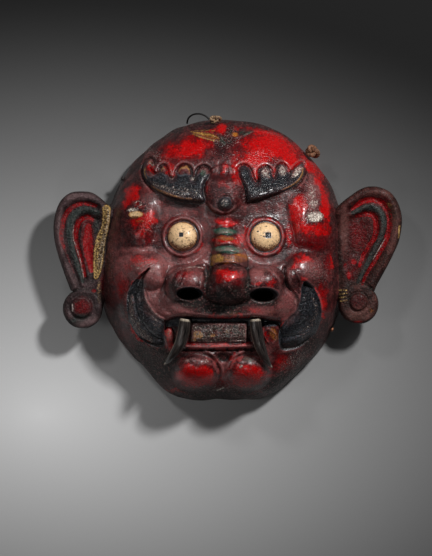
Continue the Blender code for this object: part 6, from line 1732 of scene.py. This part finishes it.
def right_ear() -> Ear:
    """The ear on the viewer's right, browner, with painted sheen along its root, rim and lower half."""
    outer = ((141.3, 54.1), (151.7, 61.5), (160.8, 66.1), (170, 65.6), (178, 59.8), (182.6, 50.6),
        (183.8, 38), (182, 24.3), (176.9, 10.5), (170, -2.1), (164.3, -12.4), (157.4, -25), (152.8, -35.4))
    ridge = ((141.3, 48.4), (151.7, 54.7), (160.8, 58.1), (168.9, 56.4), (174.6, 49.5), (176.9, 38),
        (174.6, 24.3), (168.9, 11.7), (163.1, 0.2), (157.4, -11.3), (152.8, -22.8), (149.4, -34.2))
    inner = ((147.1, 44.9), (158.5, 50.1), (165.4, 48.4), (169.4, 41.5), (170, 32.3), (167.7, 22),
        (163.1, 11.7), (156.2, 1.3))
    # The grime marks also paint shade along the outer edge, the root and beside the lobe; the rose wear marks
    # also paint sheen on the rim, the root, the top and the lobe.
    paint = ((Paint.CRIMSON, dabs((153.9, 28.9, 36.7, 50.5, 0.62), (149.4, 24.3, 12.6, 21.8, 1.15, 6),
        (141.3, -12.4, 9.2, 14.9, 0.95), (179.2, 65.6, 9.2, 4.6, 0.7, -30),
        (149.4, -50.3, 10.3, 10.3, 0.62))), (Paint.RED,
        (Stroke(((142.7, 54.8, 2.0), (153.7, 63.5, 3.0), (165.4, 66, 3.2)), 1.1), Stroke(((165.4, 66, 3.4),
        (177.3, 61.7, 3.6), (184.5, 50.2, 3.4), (185.4, 35.7, 3.2), (181.9, 20.8, 3.0), (175.7, 8.2, 2.6),
        (168.4, -4.9, 2.4), (159.5, -17.7, 2.2), (153.9, -31.9, 1.6)), 0.84), Stroke(((148.2, 47.4, 2.2),
        (159.2, 49.3, 3.0), (168.2, 46.1, 3.2), (170, 35.7, 3.2), (168.4, 22.7, 3.0), (162, 12.8, 2.8),
        (155.6, 2.5, 2.6), (151, -10.1, 2.0)), 0.9), *dabs((148.4, 24.3, 6.2, 12.6, 0.62),
        (144.5, -5.5, 3.9, 3.7, 1.2), (139, -20.5, 3, 5.7, 1.0), (134.5, -10.1, 2.3, 4.6, 0.7),
        (149.4, -74.4, 6.9, 1.8, 1.0)))), (Paint.GREEN, (Stroke(((143.6, 50.9, 2.6), (155.6, 56.4, 3.2),
        (166.6, 56.4, 3.4), (175.7, 50.6, 3.4), (179, 39.2, 3.4), (175.7, 24.3, 3.2), (169.3, 11.7, 3.2),
        (162.9, -1, 3.0), (155.6, -15.9, 2.8), (149.1, -28.5, 2.0)), 0.78),)), (Paint.GOLD,
        (Stroke(((196.4, 35.7, 1.3), (195.7, 22, 1.0)), 0.9),
        *dabs((184.9, 59.8, 5.7, 3.4, 0.5, -45))) + tuple(Stroke(((*a, 1.0), (*b, 0.7)), 1.0) for a, b
        in (((128, -38.1), (136.3, -37.7)), ((128.3, -42.3), (136.3, -41.3)),
        ((128.3, -46.1), (135.6, -45.5)), ((129.2, -50.3), (136.3, -49.4))))), (Paint.UMBER,
        dabs((164.3, -61.7, 3.9, 3, 0.9), (132.2, -44.5, 6.9, 9.2, 0.5), (188.4, 48.4, 6.9, 16.1, 0.5, 10),
        (174.6, -5.5, 5.7, 16.1, 0.45, -30), (149.4, -66.3, 16.1, 8, 0.42))), (Paint.SILVER,
        (Stroke(((179.9, 20.8, 0.6), (173.4, 9.4, 0.8), (166.6, -2.1, 0.6)), 0.8),)), (Paint.RUBBED,
        dabs((190.6, 25.4, 5.7, 34.4, 0.4, -8), (133.8, 33.4, 4.6, 25.2, 1.0),
        (172.3, 73.6, 16.1, 4.6, 0.5, 8), (151.7, -64, 17.2, 9.2, 0.5))), (Paint.GRIME,
        dabs((199.8, 31.2, 2.3, 34.4, 0.6), (127.1, -5.5, 3.4, 41.3, 0.9), (136.7, -49.1, 5.7, 16.1, 0.6),
        (140.2, -69.8, 9.2, 6.9, 0.5))), (Paint.BLISTER,
        dabs((134.5, -45.7, 6.9, 10.3, 0.8), (163.1, 2.5, 32.1, 80.3, 0.3))))
    return Ear("ear_right", "right_ear", ((126.4, 58.7), (133.3, 65), (140.2, 70.1), (149.4, 76.5),
        (158.5, 80.5), (166.6, 81.6), (176.9, 79.3), (186.1, 74.7), (192.9, 66.7), (197.5, 56.4),
        (199.8, 44.9), (199.3, 33.4), (196.4, 18.5), (190.6, 4.8), (183.8, -9), (176.9, -21.6),
        (171.2, -31.9), (168.3, -38.8)), ((126.4, 58.7), (118.4, 42.6), (117.2, 19.7), (118.4, -1),
        (120.7, -20.5), (124.1, -37.7), (126.4, -49.1), (127.1, -56)), (149.9, -53.7, 23),
        (149.4, -51.4, 9.9), (Fold(outer, -3.0, 3.2), Fold(ridge, 2.0, 3.4), Fold(inner, -3.1, 3.0),
        Fold(((152.8, 38), (152.8, 22), (148.2, 5.9)), -2.2, 7.0)), paint)


@dataclass(frozen=True)
class Tusk:
    """A curved horn tusk: (x, y, half width, height of its axis over the plain dome) stations."""

    node: str
    name: str
    stations: Run
    sides: int = 24
    rings: int = 64

    def build(self, finish: Horn, effects: Effects) -> bpy.types.Object:
        """Carries a slightly flattened, faintly faceted section along the stations."""
        run = curve(self.stations, self.rings)
        line = np.column_stack([run[:, 0], run[:, 1], plain(run[:, 0], run[:, 1]) + run[:, 3], run[:, 2]])
        t, ring = ring_of(self.sides)
        section = ring * (1.0 - 0.045 * np.abs(np.sin(2.5 * t + 0.4)))[:, None]
        return hand_over(bar(self.name, line, section, finish.material(effects)), self.node)


@dataclass(frozen=True)
class CordKnot:
    """An overhand knot drawn tight: a closed run of laid cord that winds three times through itself."""

    node: str
    name: str
    at: Array
    radii: Point3
    turn: float
    thick: float
    lay: float = 17.0
    steps: int = 360
    sides: int = 20

    def build(self, finish: Fibre, effects: Effects) -> bpy.types.Object:
        """A (2, 3) torus knot squeezed into the radii: r = 2 + cos 3t at angle 2t, height sin 3t."""
        t = np.linspace(0.0, 2 * math.pi, self.steps, endpoint=False)
        r = (2.0 + np.cos(3 * t)) / 3.0
        p = np.stack([r * np.cos(2 * t), r * np.sin(2 * t), np.sin(3 * t)], -1)
        p = p * (np.array(self.radii) - self.thick)
        c, s = math.cos(math.radians(self.turn)), math.sin(math.radians(self.turn))
        p = np.column_stack([p[:, 0] * c - p[:, 1] * s, p[:, 0] * s + p[:, 1] * c, p[:, 2]]) + self.at
        way = np.roll(p, -1, 0) - np.roll(p, 1, 0)
        way /= np.linalg.norm(way, axis=1, keepdims=True)
        out = p - self.at
        out -= way * np.sum(out * way, 1, keepdims=True)
        out /= np.linalg.norm(out, axis=1, keepdims=True)
        side = np.cross(way, out)
        a = np.linspace(0, 2 * math.pi, self.sides, endpoint=False)[None]
        strand = self.thick * (1.0 + 0.16 * np.abs(np.cos(1.5 * a + self.lay * t[:, None])) - 0.1)
        ring = np.cos(a)[..., None] * out[:, None] + np.sin(a)[..., None] * side[:, None]
        points = p[:, None] + strand[..., None] * ring
        i = np.arange(self.steps * self.sides).reshape(self.steps, self.sides)
        after = np.roll(i, -1, 0)
        faces = np.stack([i, after, np.roll(after, -1, 1), np.roll(i, -1, 1)], -1).reshape(-1, 4)
        obj = solid(self.name, points.reshape(-1, 3), faces, (finish.material(effects),))
        return hand_over(obj, self.node)


@dataclass(frozen=True)
class HangingWire:
    """A stiff blackened wire that rises from the back of the rim and bends over to the top knot."""

    node: str = "hanging_wire"
    radius: float = 1.0
    bend: Run = ((104, 14, 1.7), (104, 15, 3.4), (103, 22, 9.0), (101, 30, 13.5), (98.5, 36, 15.0),
                 (96.4, 38, 12.5), (95.3, 37.5, 8.6), (95.1, 37.3, 7.6))

    def build(self, finish: OldMetal, effects: Effects) -> bpy.types.Object:
        """Carries a round section along the bend."""
        line = curve([(*wall(*place), self.radius) for place in self.bend], 70)
        line[0, 3] = line[-1, 3] = 0.3 * self.radius
        return hand_over(bar("bent_wire", line, ring_of(14)[1], finish.material(effects)), self.node)


@dataclass(frozen=True)
class NailHead:
    """A domed nail head standing off the side wall."""

    node: str
    name: str
    degrees: float
    height: float
    radius: float
    proud: float
    start: float = 0.9

    def build(self, finish: OldMetal, effects: Effects) -> bpy.types.Object:
        """Revolves a low dome, radius times the square root of 1 - t², over a short straight rim."""
        t = np.concatenate([[0.0, 0.02], np.linspace(0.35, 1.0, 12)])
        top = np.sqrt(np.clip(1 - ((t - 0.35) / 0.65) ** 2, 0.001, 1))
        wide = np.where(t < 0.03, 0.7 + 0.3 * (t > 0.01), top)
        line = np.array([(*wall(self.degrees, self.height, self.start + self.proud * a), self.radius * b)
                         for a, b in zip(t, wide)])
        turn, ring = ring_of(28)
        section = ring * (1.0 + 0.03 * np.sin(3 * turn))[:, None]
        return hand_over(bar(self.name, line, section, finish.material(effects)), self.node)


# ---------------------------------------- the studio
@dataclass(frozen=True)
class Studio:
    """The floor, the lights and the camera that looks straight down."""

    aim: Point = (-13.5, -23.9)
    distance: float = 3.0
    view_height: float = 0.6394
    focus_height: float = 0.03
    sensor: float = 36.0
    floor_half: float = 4000.0
    # Floor colours: painted dark outside the pool of light, pale inside it.
    floor_painted_dark: Colour = (0.002, 0.002, 0.002)
    floor_pale: Colour = (0.86, 0.86, 0.86)
    # Middle in mm and reach in m of the pool of light painted on the floor.
    painted_glow_at: Point = (-218.0, -183.0)
    painted_glow_reach: Point = (0.8, 0.5)
    lamp_aim: float = 0.06
    lamps: tuple[tuple[str, float, float, float, float, float], ...] = (
        ("key", 50.0, 45.0, 1.6, 0.18, 22.0), ("crown", 124.0, 42.0, 1.6, 0.2, 4.0),
        ("left", 190.0, 44.0, 1.7, 0.5, 2.2), ("front", 262.0, 54.0, 1.7, 0.3, 1.1))

    def floor(self) -> bpy.types.Object:
        """A large plain sheet under the mask, painted with a pool of light: palest beside the chin and
        painted darker towards the crown.
        """
        points = self.floor_half * np.array([(-1, -1, 0), (1, -1, 0), (1, 1, 0), (-1, 1, 0)])
        mat, s, shader = fresh_material("studio_floor")
        (gx, gy), (rx, ry) = self.painted_glow_at, self.painted_glow_reach
        shift = {"Vector": s.spot(), "Location": (-gx * MM, -gy * MM, 0.0)}
        stretch = {0: s.add("ShaderNodeMapping", shift).outputs[0], 1: (1 / rx, 1 / ry, 0.0)}
        place = s.add("ShaderNodeVectorMath", stretch, operation="MULTIPLY").outputs[0]
        away = s.add("ShaderNodeVectorMath", {0: place}, operation="LENGTH").outputs["Value"]
        # A pool of light painted into the floor's colour, fading from pale at its middle to painted dark at
        # its reach.
        share = s.maths("POWER", s.maths("SUBTRACT", 1.0, s.maths("MINIMUM", away, 1.0)), 1.75)
        s.put(shader, {"Base Color": s.mix(share, self.floor_painted_dark, self.floor_pale), "Roughness": 0.95})
        obj = solid("floor", points, [(0, 1, 2, 3)], (mat,))
        return obj

    def lamp(self, name: str, turn: float, rise: float, far: float, size: float, power: float) -> None:
        """A square area light far metres away, at a turn from +X and a rise in degrees, aimed at the mask."""
        data = bpy.data.lights.new(name, "AREA")
        data.shape, data.size, data.energy = "SQUARE", size, power
        obj = bpy.data.objects.new(name, data)
        bpy.context.collection.objects.link(obj)
        a, e = math.radians(turn), math.radians(rise)
        way = Vector((math.cos(e) * math.cos(a), math.cos(e) * math.sin(a), math.sin(e)))
        obj.location = Vector((0.0, 0.0, self.lamp_aim)) + far * way
        obj.rotation_euler = (-way).to_track_quat("-Z", "Y").to_euler()

    def build(self) -> None:
        """Sets the floor, the lamps, the world and the camera."""
        self.floor()
        for lamp in self.lamps:
            self.lamp(*lamp)
        world = bpy.data.worlds.new("studio")
        world.use_nodes = True
        back = world.node_tree.nodes["Background"]
        back.inputs["Color"].default_value = (0.3, 0.3, 0.3, 1.0)
        back.inputs["Strength"].default_value = 0.02
        bpy.context.scene.world = world
        data = bpy.data.cameras.new("view")
        data.sensor_width = data.sensor_height = self.sensor
        data.sensor_fit, data.clip_end = "VERTICAL", 10.0
        data.lens = self.sensor * (self.distance - self.focus_height) / self.view_height
        camera = bpy.data.objects.new("view", data)
        camera.location = (self.aim[0] * MM, self.aim[1] * MM, self.distance)
        bpy.context.collection.objects.link(camera)
        bpy.context.scene.camera = camera
        bpy.context.scene.view_settings.view_transform = "Standard"


def pieces() -> tuple[tuple[Any, Any], ...]:
    """Every piece with its finish, in the order in which they are made."""
    dull = {"hollow_shade_and_dirt": 0.3, "fleck": 0.4, "varnish": 0.0, "coats": DULL_COATS}
    return (
        (FaceShell(BareWood("sooty_wood")), Lacquer("worn_lacquer")),
        (left_ear(), Lacquer("ear_lacquer_left", ((0.022, 0.012, 0.013), (0.09, 0.052, 0.054)),
                             (0.19, 0.12, 0.12), edge_wear=0.3, shine=0.18, rough=(0.42, 0.56), **dull)),
        (right_ear(), Lacquer("ear_lacquer_right", ((0.02, 0.008, 0.007), (0.098, 0.034, 0.028)),
                              (0.18, 0.08, 0.07), edge_wear=0.25, shine=0.15, rough=(0.44, 0.58), **dull)),
        (Tusk("tusk_left", "left_tusk", (
            (-47.8, -70.1, 6.5, 3.6), (-50, -84.7, 7.1, 7.4), (-54.5, -99.4, 6.5, 11.0),
            (-61.5, -110.1, 4.8, 11.8), (-67.8, -117.9, 2.9, 10.5), (-72.3, -121.9, 0.6, 8.5))),
         Horn("left_horn")),
        (Tusk("tusk_right", "right_tusk", (
            (30.9, -70.1, 6.5, 3.6), (32.5, -84.7, 7.0, 7.4), (36.3, -100.5, 6.4, 11.0),
            (41.3, -112.4, 4.7, 12.0), (46.4, -120.8, 2.6, 11.0), (50, -125.3, 0.6, 9.5))),
         Horn("right_horn")),
        (CordKnot("knot_top", "top_knot", wall(92.7, 35, 6.5), (7.7, 4.9, 4.7), 8.0, 1.45),
         Fibre("tan_fibre", ((0.06, 0.028, 0.014), (0.5, 0.32, 0.18)))),
        (CordKnot("knot_side", "side_knot", wall(50.6, 30, 10.0), (9.4, 7.6, 7.0), -35.0, 2.3),
         Fibre("coppery_fibre", ((0.055, 0.02, 0.01), (0.34, 0.15, 0.075)))),
        (HangingWire(), OldMetal("black_wire", ((0.01, 0.008, 0.007), (0.02, 0.02, 0.022)), 0.7, 0.34)),
        (NailHead("rim_nail_left", "left_nail", 139.9, 26.0, 2.6, 3.4),
         OldMetal("dark_iron", ((0.018, 0.012, 0.01), (0.06, 0.055, 0.055)), 0.9, 0.42)),
        (NailHead("rim_nail_right", "right_nail", 328.5, 24.0, 2.8, 3.0),
         OldMetal("old_copper", ((0.05, 0.02, 0.012), (0.42, 0.17, 0.09)), 0.9, 0.38)))


def main() -> None:
    """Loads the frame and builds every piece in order."""
    logging.basicConfig(level=logging.INFO, format="%(name)s: %(message)s")
    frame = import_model()
    log.info("frame: %d CAD nodes", len(frame["nodes"]))
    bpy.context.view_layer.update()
    effects = Effects()
    Studio().build()
    for piece, finish in pieces():
        piece.build(finish, effects)


if __name__ == "__main__":
    main()
